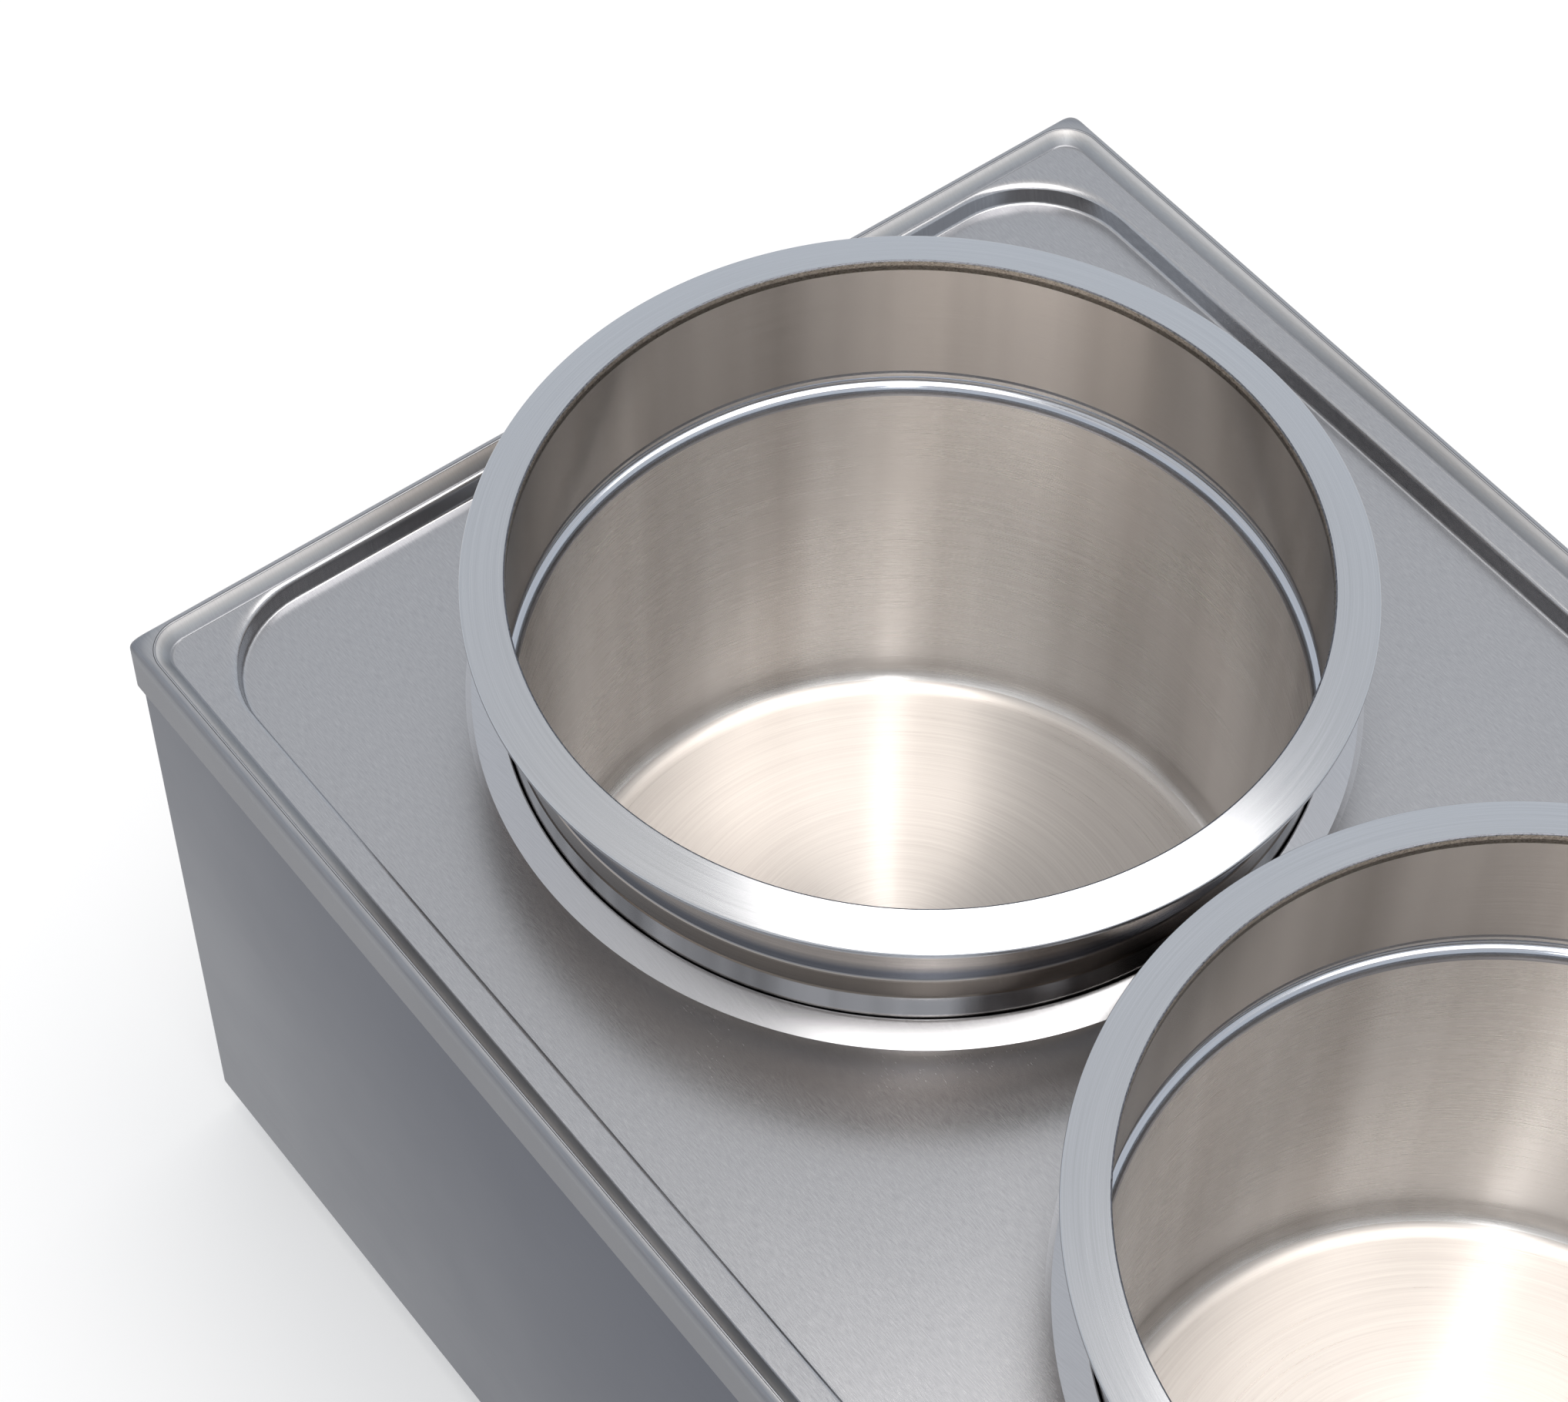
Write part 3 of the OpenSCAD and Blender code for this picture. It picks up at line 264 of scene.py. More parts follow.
def revolve(name, profile, centre, materials, slots, segments=288, sharp=35.0):
    """Turned piece: (r cos a + cx, r sin a + cy, z) for a closed or open profile of (r, z) points.

    The map's U is the angle times the mean radius and V is the arc length of the profile.
    """
    rows = len(profile)
    angle = np.linspace(0, 2 * np.pi, segments, endpoint=False)
    r, z = profile[:, :1], profile[:, 1:]
    verts = np.stack([r * np.cos(angle) + centre[0], r * np.sin(angle) + centre[1], z + 0 * angle], -1)
    verts = verts.reshape(-1, 3)
    faces = grid_faces(rows, segments, True)
    v = arc_lengths(profile)
    u = 2 * np.pi / segments * profile[:, 0].max()
    i, j = np.divmod(np.arange(len(faces)), segments)
    uv = np.stack([np.stack([u * (j + a), v[i + b]], -1) for a, b in ((0, 0), (1, 0), (1, 1), (0, 1))], 1)
    slots = np.repeat(slots, segments)
    merged = np.arange(len(verts))
    for first in np.flatnonzero(profile[:, 0] < 1e-7) * segments:
        merged[first : first + segments] = first
    faces = merged[faces]
    # A fan at the axis keeps three corners: the pole's two are made one and the order is turned to suit
    pole_low = faces[:, 0] == faces[:, 1]
    faces[pole_low] = faces[pole_low][:, [1, 2, 3, 3]]
    uv[pole_low] = uv[pole_low][:, [1, 2, 3, 3]]
    used, faces = np.unique(faces, return_inverse=True)
    return make_mesh(name, verts[used], faces.reshape(-1, 4), uv, materials, slots, sharp)


def outline(hx, hy, r, across, along, corner):
    """Closed rounded rectangles, one row for each half width hx, half length hy and corner radius r.

    A point is (a (hx - r) + r cos f, b (hy - r) + r sin f), where a and b run from -1 to 1 on the sides
    and f turns through 90 degrees at each corner. The rows share a, b and f, so they join into a grid. The
    angles f are returned too.
    """
    bend = np.linspace(0, np.pi / 2, corner + 1)
    a, b, f = [], [], []
    signs = [(1, 1), (-1, 1), (-1, -1), (1, -1)]
    counts = [across, along, across, along]
    for k, ((sx, sy), count) in enumerate(zip(signs, counts)):
        turn = bend + k * np.pi / 2
        nx, ny = signs[(k + 1) % 4]
        step = np.arange(1, count) / count
        a += [np.full(corner + 1, sx), sx + (nx - sx) * step]
        b += [np.full(corner + 1, sy), sy + (ny - sy) * step]
        f += [turn, np.full(count - 1, turn[-1])]
    a, b, f = map(np.concatenate, (a, b, f))
    hx, hy, r = (np.asarray(q, float)[:, None] for q in (hx, hy, r))
    return np.stack([a * (hx - r) + r * np.cos(f), b * (hy - r) + r * np.sin(f)], -1), f


# Sizes that the sheet pieces share with the CAD frame

DECK_LOW, DECK_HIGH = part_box("top_deck")
POTS = {"front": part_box("pot_front"), "rear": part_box("pot_rear")}
CENTRE_Y = (DECK_LOW.y + DECK_HIGH.y) / 2
POT_Y = {k: (low.y + high.y) / 2 for k, (low, high) in POTS.items()}
RIM_R = (POTS["rear"][1].x - POTS["rear"][0].x) / 2
# Height of the flange's outer edge, from which a pot's and the deck's heights are measured
RIM_Z = POTS["rear"][1].z - 2.4 * MM


class DeckSizes(bpy.types.PropertyGroup):
    """Sizes and colours of the pressed top sheet."""

    crest_in: FloatProperty(name="Crest inset", description="From the outer face in to the crest line",
                            default=2.2 * MM, unit="LENGTH")
    crest_z: FloatProperty(name="Crest height", description="Height of the raised edge's crest",
                           default=RIM_Z - 35.0 * MM, unit="LENGTH")
    edge_z: FloatProperty(name="Edge height", description="Height of the outer edge",
                          default=RIM_Z - 36.0 * MM, unit="LENGTH")
    flat_z: FloatProperty(name="Flat height", description="Height of the flat rim",
                          default=RIM_Z - 38.4 * MM, unit="LENGTH")
    floor_z: FloatProperty(name="Floor height", description="Height of the recessed floor",
                           default=RIM_Z - 44.4 * MM, unit="LENGTH")
    recess_in: FloatProperty(name="Recess inset", description="From the long outer face to the recess wall",
                             default=15.2 * MM, unit="LENGTH")
    end_less: FloatProperty(name="End difference", description="How much narrower the ends' flat rim is",
                            default=7.2 * MM, unit="LENGTH")
    sheet: FloatProperty(name="Sheet", description="Thickness of the sheet", default=1.0 * MM, unit="LENGTH")
    collar_r: FloatProperty(name="Collar radius", description="Outer radius of a collar's sloping face",
                            default=119.3 * MM, unit="LENGTH")
    hole_r: FloatProperty(name="Hole radius", description="Radius of a pot's hole",
                          default=111.45 * MM, unit="LENGTH")
    collar_rise: FloatProperty(name="Collar rise", description="Rise of the collar's cone above the floor",
                               default=2.8 * MM, unit="LENGTH")
    pale: StringProperty(name="Pale steel", description="Colour of the polished grain", default="#b7b8bb")
    dark: StringProperty(name="Dark steel", description="Colour of the grain's valleys", default="#a6a7ab")


class PotSizes(bpy.types.PropertyGroup):
    """Sizes and colours of the spun pots."""

    neck_r: FloatProperty(name="Neck radius", description="Outer radius of the neck",
                          default=111.2 * MM, unit="LENGTH")
    wall: FloatProperty(name="Wall", description="Wall thickness", default=1.0 * MM, unit="LENGTH")
    depth: FloatProperty(name="Depth", description="From the flange's edge down to the floor inside",
                         default=186 * MM, unit="LENGTH")
    segments: IntProperty(name="Segments", description="Facets round a pot", default=288, min=96, max=512)
    pale: StringProperty(name="Pale steel", description="Colour of the polished grain", default="#f4f2f0")
    dark: StringProperty(name="Dark steel", description="Colour of the grain's valleys", default="#cbc6c2")


class CasingSizes(bpy.types.PropertyGroup):
    """Sizes and colours of the casing."""

    bend: FloatProperty(name="Bend radius", description="Outer radius of the sheet's bends",
                        default=1.6 * MM, unit="LENGTH")
    # The sheet's colours, darkened as painted shade
    pale: StringProperty(name="Pale steel", description="Colour of the satin steel", default="#60636c")
    dark: StringProperty(name="Dark steel", description="Colour of the grain's valleys", default="#5a5d66")


class ControlSizes(bpy.types.PropertyGroup):
    """Sizes of the thermostat's printed scale."""

    ticks: IntProperty(name="Ticks", description="Numbered marks on the scale", default=10, min=2, max=20)
    sweep: FloatProperty(name="Sweep", description="Degrees that the scale runs clockwise from the top",
                         default=270)
    inner: FloatProperty(name="Inner end", description="Radius where a tick starts",
                         default=20.2 * MM, unit="LENGTH")
    outer: FloatProperty(name="Outer end", description="Radius where a tick ends",
                         default=22.6 * MM, unit="LENGTH")
    digit: FloatProperty(name="Digit", description="Height of the numbers", default=4.2 * MM, unit="LENGTH")
    ink: FloatProperty(name="Ink", description="Thickness of the print", default=0.05 * MM, unit="LENGTH")


class StudioSizes(bpy.types.PropertyGroup):
    """Camera, lamps, floor and background."""

    camera_place: FloatVectorProperty(name="Camera place", description="Where the camera stands",
                                      default=(-0.42579, -0.35055, 1.07554), subtype="TRANSLATION")
    camera_turn: FloatVectorProperty(name="Camera turn", description="Euler XYZ angles of the camera",
                                     default=tuple(np.radians((37.06493, -0.27148, -37.51292)).tolist()),
                                     subtype="EULER")
    lens: FloatProperty(name="Lens", description="Focal length in mm on a 36 mm wide frame",
                        default=90.80, min=10)
    floor: StringProperty(name="Floor", description="Colour of the floor", default="#fbfbfb")
    low_sky: StringProperty(name="Low sky", description="Colour of the room near the horizon",
                            default="#e9eff6")
    mid_sky: StringProperty(name="Mid sky", description="Colour of the room's upper walls",
                            default="#e5e7ea")
    high_sky: StringProperty(name="High sky", description="Colour of the room overhead", default="#f8f6f3")


# Finishes


def finishes():
    """All materials of the part, by the name of their use."""
    deck = bpy.context.scene.bm_deck
    pot = bpy.context.scene.bm_pot
    casing = bpy.context.scene.bm_casing
    made = {}
    # Cold rolled sheet brushed along its length: short fine hairlines and a soft sheen
    made["deck"] = brushed("deck_brushed_stainless", deck.pale, deck.dark, 0.25, grain=0.0003, length=0.003,
                           turned=False, anisotropic=0.4, bump=0.0000002, spread=0.015, smudge=0.02)
    # Inner slope of the raised edge, brushed: painted shade at its foot, a painted highlight up to its crest
    # and a thin line of painted shade at the crest. The tones by height here and below are set against the
    # photograph, and they paint light, shade and reflections, not the steel's own colours
    painted_light_levels = [(0.0, "#b0b1b4"), (0.04, "#8e9095"), (0.3, "#999b9f"), (1.3, "#a9abae"), (2.1, "#bebdbc"),
              (2.8, "#dad7d5"), (3.2, "#d5d2d0"), (3.3, "#6e7075"), (3.4, "#b0b1b4")]
    made["ramp"] = brushed("edge_ramp_brushed_stainless_painted_light", "#ffffff", "#f2f2f3", 0.36, grain=0.0003,
                           length=0.003, turned=False, anisotropic=0.2, bump=0.0, spread=0.015, smudge=0.02,
                           zones=[(deck.flat_z + z * MM, code) for z, code in painted_light_levels])
    # The collars' sloping band: a little brighter than the deck, a painted highlight
    made["collar"] = brushed("collar_stainless_painted_highlight", "#bebfc3", "#b4b5b9", 0.22, grain=0.00025,
                             length=0.008, turned=False, anisotropic=0.4, bump=0.0000015, spread=0.02,
                             smudge=0.02)
    # The deck's rolled edge and turned-down skirt, brushed: as the deck at the crest, and darker below it,
    # which is painted shade
    painted_light_levels = [(-7.0, "#686a72"), (-3.4, "#6b6e75"), (-1.6, "#7f8187"), (-0.4, "#9a9b9f"), (0.0, "#b0b1b4")]
    made["skirt"] = brushed("skirt_brushed_stainless_painted_shade", "#ffffff", "#ececed", 0.33, grain=0.00025,
                            length=0.008, turned=False, anisotropic=0.3, bump=0.0000015, spread=0.02,
                            smudge=0.02,
                            zones=[(deck.crest_z + z * MM, code) for z, code in painted_light_levels])
    # Satin sheet of the sides and rear: even, bluish, and as dark as the photograph shows the left side,
    # which is darker than such steel is in a bright room: the darkness is painted shade
    made["casing"] = brushed("casing_satin_stainless_painted_shade", casing.pale, casing.dark, 0.34, grain=0.0005,
                             length=0.05, turned=False, anisotropic=0.3, bump=0.000002, spread=0.02,
                             smudge=0.02)
    # Lathe-polished flange: rings of hairlines that catch the light as one bright band
    made["flange"] = brushed("pot_flange_turned_stainless", "#c2c4c8", "#b9bbbf", 0.24, grain=0.0003,
                             anisotropic=0.5, spread=0.02, smudge=0.02, bump=0.000002)
    # Spun wall, satin: hairline rings, and tall soft streaks of tone that are painted reflections
    made["wall"] = brushed("pot_wall_spun_stainless_painted_reflections", pot.pale, pot.dark, 0.27, anisotropic=0.85,
                           spread=0.03, smudge=0.03, bump=0.000004, streaks=0.8)
    # Inside of the neck, taken as planished: a shade darker and smoother than the wall, with tall streaks of
    # painted reflection
    made["band"] = brushed("pot_neck_planished_stainless_painted_reflections", "#d2cfcd", "#a4a09d", 0.22, anisotropic=0.85,
                           spread=0.03, smudge=0.03, bump=0.000003, streaks=0.85)
    # Rolled bead, taken as left bright by the roller: nearly a mirror
    made["bead"] = brushed("pot_bead_rolled_stainless", "#c3c7cf", "#b2b6be", 0.14, anisotropic=0.4,
                           spread=0.02, smudge=0.01)
    # Outside of the neck: level bands of different tints, one above the other, which are painted reflections
    painted_light_levels = [(-42, "#766d66"), (-32, "#7b726a"), (-26.5, "#887f76"), (-25.2, "#bcb3aa"), (-24.6, "#7b7d84"),
              (-22.4, "#7c7f87"), (-19.0, "#cbc2ba"), (0, "#ded5cd")]
    made["neck"] = brushed("pot_neck_stainless_painted_reflections", "#ffffff", "#e2e1e0", 0.16, anisotropic=0.5,
                           spread=0.02, smudge=0.02, bump=0.000001,
                           zones=[(RIM_Z + z * MM, code) for z, code in painted_light_levels])
    # Sizing band at the neck's foot, nearly a mirror: soft light and dark blocks stand in for what it mirrors
    made["sizing"] = brushed("pot_sizing_band_polished_stainless", "#d5d1ce", "#605c5a", 0.12,
                             anisotropic=0.3, spread=0.01, smudge=0.01, bump=0.0000003, streaks=0.95,
                             around=4.0)
    # Inner edge of the flange, cut and tumbled: speckled, with a bright rim that is a painted highlight over
    # a dull one that is painted shade, and a thin darker painted line along its top
    painted_light_levels = [(-2.2, "#8a857f"), (-1.2, "#716d67"), (0.5, "#7f7a74"), (1.0, "#d8d0c7"), (2.25, "#e6dfd6"),
              (2.34, "#70727a"), (2.6, "#7d8088")]
    made["lip"] = brushed("pot_lip_tumbled_stainless_painted_light", "#ffffff", "#a9a8a6", 0.30, grain=0.0005,
                          length=0.0008, anisotropic=0.2, spread=0.06, bump=0.00004,
                          zones=[(RIM_Z + z * MM, code) for z, code in painted_light_levels])
    # Turned floor: concentric marks that stretch the light into radial streaks
    made["floor"] = brushed("pot_floor_turned_stainless", "#d8d3ce", "#cbc5c1", 0.31, grain=0.0006,
                            anisotropic=0.85, spread=0.03, smudge=0.02, bump=0.000004)
    # Screen-printed ink: flat and a little glossy
    made["ink"] = textured("dial_screen_printed_ink", "#2a2b2d", "#232426", 0.0, 0.45, 0.0006)
    made["white_ink"] = textured("pointer_filled_enamel", "#f1f0ec", "#e8e7e2", 0.0, 0.35, 0.0006)
    return made


def textured(name, pale, dark, metallic, roughness, grain, spread=0.04, bump=0.0, stretch=(1, 1, 1),
             **sockets):
    """Finish of a CAD node: noise of one grain size, in metres, that tints, dulls and lifts the surface.

    stretch is how many grains long the pattern is along X, Y and Z, so that rolled sheet gets its lines.
    """
    mat, tree, bsdf = shader(name, pale, metallic, roughness, **sockets)
    place = add(tree, "ShaderNodeTexCoord").outputs["Object"]
    scale = tuple(1 / (grain * s) for s in stretch)
    domain = add(tree, "ShaderNodeMapping", {"Vector": place, "Scale": scale}).outputs["Vector"]
    noise = add(tree, "ShaderNodeTexNoise", {"Vector": domain, "Scale": 1.0, "Detail": 3.0}).outputs["Fac"]
    wear_and_painted_highlight = add(tree, "ShaderNodeTexNoise", {"Vector": place, "Scale": 30.0, "Detail": 2.0}).outputs["Fac"]
    color = ramp(tree, remap(tree, noise, 0.0, 1.0), [(0.0, dark), (1.0, pale)])
    tree.links.new(color, bsdf.inputs["Base Color"])
    rough = remap(tree, noise, roughness - spread, roughness + spread)
    total = add(tree, "ShaderNodeMath", {0: rough, 1: remap(tree, wear_and_painted_highlight, -spread, spread)}, operation="ADD")
    tree.links.new(total.outputs[0], bsdf.inputs["Roughness"])
    if bump:
        relief = add(tree, "ShaderNodeBump", {"Height": noise, "Strength": 1.0, "Distance": bump})
        tree.links.new(relief.outputs["Normal"], bsdf.inputs["Normal"])
    return mat


CAD_FINISHES = {
    # Mill-finish stainless sheet: dull grey with faint rolling lines along its length
    "tank_sheet": ("tank_mill_stainless", "#b3b2b1", "#a3a2a2", 1.0, 0.34, 0.0006, dict(stretch=(1, 60, 1))),
    "base_sheet": ("base_mill_stainless", "#a3a4a5", "#949596", 1.0, 0.38, 0.0006, dict(stretch=(60, 1, 1))),
    # Satin stainless of the front panel, brushed along its width: fine level lines, slightly blue, and
    # lighter than the sides so that the black print on it can be read
    "casing_sheet": ("casing_brushed_stainless", "#7e8289", "#767a81", 1.0, 0.33, 0.0005,
                     dict(stretch=(90, 90, 1))),
    # The deck's and the pots' own sheet, plain: their solids are replaced by the finer pieces below
    "deck_sheet": ("deck_plain_stainless", "#aeafb2", "#a6a7ab", 1.0, 0.27, 0.0004, dict(stretch=(1, 60, 1))),
    "pot_steel": ("pot_plain_stainless", "#bdbab7", "#b2afac", 1.0, 0.27, 0.0004, {}),
    # Bent stainless pipe, tumbled: soft satin without lines
    "drain_steel": ("drain_tumbled_stainless", "#b0b0b1", "#a2a2a4", 1.0, 0.3, 0.0012, {}),
    # Moulded rubber: near black, dull, with a fine pebble
    "foot_rubber": ("foot_moulded_rubber", "#232324", "#19191a", 0.0, 0.72, 0.0008, dict(bump=0.00004)),
    # Moulded silicone: brick red and soft-looking
    "silicone": ("gasket_moulded_silicone", "#83301f", "#742718", 0.0, 0.6, 0.001, dict(bump=0.00002)),
    # Zinc plate on steel screws: bright grey with a cloudy sheen
    "zinc_fastener": ("fastener_zinc_plated_steel", "#bcbfc4", "#a9adb4", 1.0, 0.3, 0.002, dict(spread=0.07)),
    # Stainless sheath that heat has browned: dark, blotched and dull
    "element_sheath": ("element_heat_browned_steel", "#6a635c", "#4b4642", 1.0, 0.42, 0.004,
                       dict(spread=0.08)),
    # Turned brass: warm, with the tool's fine rings as soft noise
    "brass": ("fitting_turned_brass", "#d0ae6e", "#c09c5c", 1.0, 0.28, 0.0006, {}),
    # Drawn copper capillary: dulled pinkish brown
    "copper": ("bulb_drawn_copper", "#cd9170", "#b87c5d", 1.0, 0.32, 0.002, dict(spread=0.08)),
    # Moulded phenolic and nylon: plain, slightly mottled, with a faint moulded grain
    "thermostat_plastic": ("thermostat_moulded_phenolic", "#d3ccba", "#c7bfac", 0.0, 0.5, 0.002,
                           dict(bump=0.00002)),
    "cutout_plastic": ("cutout_moulded_phenolic", "#2a2727", "#1f1d1d", 0.0, 0.45, 0.001,
                       dict(bump=0.00002)),
    "terminal_plastic": ("terminal_moulded_nylon", "#dfded7", "#d3d2ca", 0.0, 0.45, 0.002,
                         dict(bump=0.00002)),
    # Spark-eroded black nylon of knob and bezel: fine matt texture that softens highlights
    "knob_plastic": ("control_textured_nylon", "#222224", "#19191b", 0.0, 0.42, 0.0004, dict(bump=0.00003)),
    # Polished polycarbonate rocker: clean red with a sharp highlight
    "rocker_plastic": ("rocker_polished_polycarbonate", "#b11c13", "#a4170f", 0.0, 0.22, 0.004,
                       dict(spread=0.02)),
    # Tinted acrylic lenses: deep colour and a wet gloss
    "lens_green": ("lens_green_acrylic", "#35a446", "#2c963d", 0.0, 0.1, 0.004,
                   dict(spread=0.02, Transmission_Weight=0.35)),
    "lens_amber": ("lens_amber_acrylic", "#e28a25", "#d27c1b", 0.0, 0.1, 0.004,
                   dict(spread=0.02, Transmission_Weight=0.35)),
    # Chrome plate: mirror with faint handling marks
    "lamp_chrome": ("lamp_bezel_chrome_plate", "#cfd0d2", "#c6c7c9", 1.0, 0.08, 0.005, dict(spread=0.02)),
    # Nickel plate over cast and turned brass: warm white metal, a soft mirror
    "tap_nickel": ("tap_nickel_plate", "#c8c5c0", "#bbb8b2", 1.0, 0.17, 0.003, dict(spread=0.03)),
    # Pressed fluoropolymer: waxy white
    "seal_white": ("seal_pressed_fluoropolymer", "#ecebe6", "#e2e1db", 0.0, 0.4, 0.002, {}),
    # Dipped vinyl sleeve: blue, thick and soft, with shallow runs
    "grip_vinyl": ("grip_dipped_vinyl", "#24479a", "#1d3c84", 0.0, 0.4, 0.003, dict(bump=0.00005)),
}


# Every material made so far, by the name of its use or its record slot
MADE = {}


def dress_cad_nodes():
    """Gives each CAD node the finish of its record slot."""
    slots = {s["node"]: s["material_slot"] for s in frame["record"]["subparts"]}
    for node, obj in frame["nodes"].items():
        slot = slots[node]
        if slot not in MADE:
            *values, extra = CAD_FINISHES[slot]
            MADE[slot] = textured(*values, **extra)
        obj.data.materials.clear()
        obj.data.materials.append(MADE[slot])


def thicken(obj, thickness):
    """Gives a one-sided sheet its thickness, inwards from the outer skin."""
    mod = obj.modifiers.new("sheet thickness", "SOLIDIFY")
    mod.thickness = thickness
    mod.offset = -1.0
    mod.use_even_offset = False
    mod.use_quality_normals = True


class BM_OT_deck(bpy.types.Operator):
    """Press the top sheet: raised edge, recess, skirt and two collars"""

    bl_idname = "bain_marie.deck"
    bl_label = "Pressed top sheet"

    def execute(self, context):
        size = context.scene.bm_deck
        hx = (DECK_HIGH.x - DECK_LOW.x) / 2
        hy = (DECK_HIGH.y - DECK_LOW.y) / 2
        rim_in = size.crest_in + 4.4 * MM
        # Edge section as (inset, height), from the recess floor out to the skirt's lower edge
        inner = filleted(
            [(size.recess_in + 2.6 * MM, size.floor_z), (size.recess_in + 0.8 * MM, size.floor_z),
             (size.recess_in - 0.2 * MM, size.flat_z), (rim_in, size.flat_z),
             (size.crest_in + 0.5 * MM, size.crest_z), (size.crest_in + 0.2 * MM, size.crest_z),
             (size.crest_in + 0.1 * MM, size.crest_z - 0.15 * MM), (size.crest_in, size.crest_z)],
            [0, 1.5 * MM, 1.6 * MM, 1.4 * MM, 0.6 * MM, 0, 0, 0], steps=9)
        # Outside the crest the sheet rolls over a quarter of an ellipse down to the skirt
        roll, roll_high = np.radians(np.arange(9, 91, 9)), 2.9 * MM
        outer = np.stack([size.crest_in * (1 - np.sin(roll)),
                          size.crest_z - roll_high * (1 - np.cos(roll))], 1)
        section = np.concatenate([inner, outer, [(0.0, DECK_LOW.z)]])
        inset, height = section[:, 0], section[:, 1]
        # The flat rim is narrower on the two ends
        end_inset = inset - np.clip(inset - rim_in, 0, size.end_less)
        # Corner radius of each line of the section, by its inset
        insets, radii = np.array([[0, 2.2, 6.6, 15.2, 17.8], [2.0, 11, 6.6, 32, 30.4]]) * MM
        radius = np.interp(inset, insets, radii)
        across, along, corner = 72, 110, 14
        rings, f = outline(hx - inset, hy - end_inset, radius, across, along, corner)
        rows, columns = rings.shape[:2]
        heights = np.broadcast_to(height[:, None, None], (rows, columns, 1))
        verts = [np.concatenate([rings + (0, CENTRE_Y), heights], -1).reshape(-1, 3)]
        quads = [grid_faces(rows, columns, True)[:, ::-1]]
        # The grain's map is the plan, with the skirt folded out flat
        drop = np.maximum(size.edge_z - height, 0) * (inset < TINY)
        outwards = np.stack([np.cos(f), np.sin(f)], -1)
        grain = [(rings + (0, CENTRE_Y) + drop[:, None, None] * outwards).reshape(-1, 2)]
        ring = rings[0]
        count = rows * columns
        # Each half of the floor runs from its part of the recess edge and the middle line in to its collar
        halfway = np.flatnonzero(np.abs(ring[:, 1]) < 1e-9)
        left, right = halfway[ring[halfway, 0].argmin()], halfway[ring[halfway, 0].argmax()]
        steps = 96
        line_x = np.linspace(ring[right, 0], ring[left, 0], steps + 1)[1:-1]
        line_ids = count + np.arange(steps - 1)
        line = np.stack([line_x, np.full(steps - 1, CENTRE_Y), np.full(steps - 1, size.floor_z)], 1)
        verts.append(line)
        grain.append(line[:, :2])
        count += steps - 1
        walk = (right + np.arange(columns)) % columns
        turn = int((left - right) % columns)
        loops = {"rear": np.concatenate([walk[: turn + 1], line_ids[::-1]]),
                 "front": np.concatenate([walk[turn:], [right], line_ids])}
        # A point on the cone beside the rounding at the hole keeps the cone's shading straight
        cone = 1 - 1.2 * MM / (size.collar_r - size.hole_r)
        collar = filleted(
            [(size.collar_r + 1.5 * MM, size.floor_z), (size.collar_r, size.floor_z),
             (size.hole_r + 1.2 * MM, size.floor_z + size.collar_rise * cone),
             (size.hole_r, size.floor_z + size.collar_rise), (size.hole_r, RIM_Z - 52.3 * MM),
             (size.hole_r - 1.5 * MM, RIM_Z - 52.7 * MM)],
            [0, 0, 0, 0.7 * MM, 0.5 * MM, 0], steps=9)
        reach = arc_lengths(collar)
        # The collars' faces, which take the collar finish and its painted highlight
        wear_and_painted_highlight = []
        for key, loop in loops.items():
            middle = np.array([0.0, POT_Y[key]])
            way = np.concatenate(verts)[loop][:, :2] - middle
            far = np.linalg.norm(way, axis=1, keepdims=True)
            way = way / far
            blend = np.linspace(0, 1, 5)[1:-1, None, None]
            r = far * (1 - blend) + collar[0, 0] * blend
            flat = np.concatenate([middle + way * r, np.broadcast_to(size.floor_z, r.shape)], -1)
            n = len(loop)
            r, z = collar[:, 0][:, None, None], collar[:, 1][:, None, None]
            turned = np.concatenate([middle + way * r, np.broadcast_to(z, (len(collar), n, 1))], -1)
            skin = np.concatenate([flat, turned])
            number = np.concatenate([loop[None], count + np.arange(skin.shape[0] * n).reshape(-1, n)])
            verts.append(skin.reshape(-1, 3))
            # Only the hole's wall is unfolded in the map: by its arc length less its part in the plan
            unfold = reach - reach[0] - (collar[0, 0] - collar[:, 0])
            unfold = np.where(collar[:, 0] > size.hole_r + TINY, 0, unfold)
            lift = np.concatenate([np.zeros(len(flat)), unfold])
            grain.append((skin[..., :2] - way * lift[:, None, None]).reshape(-1, 2))
            count += skin.shape[0] * n
            grid = grid_faces(number.shape[0], n, True)
            quads.append(number.reshape(-1)[grid])
            wear_and_painted_highlight.append(np.repeat(np.arange(number.shape[0] - 1) > len(flat), n))
        verts = np.concatenate(verts)
        quads = np.concatenate(quads)
        grain = np.concatenate(grain)[:, ::-1]
        # Faces of the roll and skirt, which take their painted shade
        skirt = inset[1:] < size.crest_in - TINY
        # Faces of the edge's inner slope, which take its painted light
        slope = (inset[:-1] < rim_in + 0.6 * MM) & (inset[:-1] > size.crest_in + TINY)
        slots = np.concatenate([np.repeat(skirt + 3 * slope, columns), 2 * np.concatenate(wear_and_painted_highlight)])
        skins = [MADE[key] for key in ("deck", "skirt", "collar", "ramp")]
        obj = make_mesh("deck_pressing", verts, quads, grain[quads], skins, slots, 14.0)
        thicken(obj, size.sheet)
        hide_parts("top_deck")
        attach(obj, "cabinet")
        return {"FINISHED"}


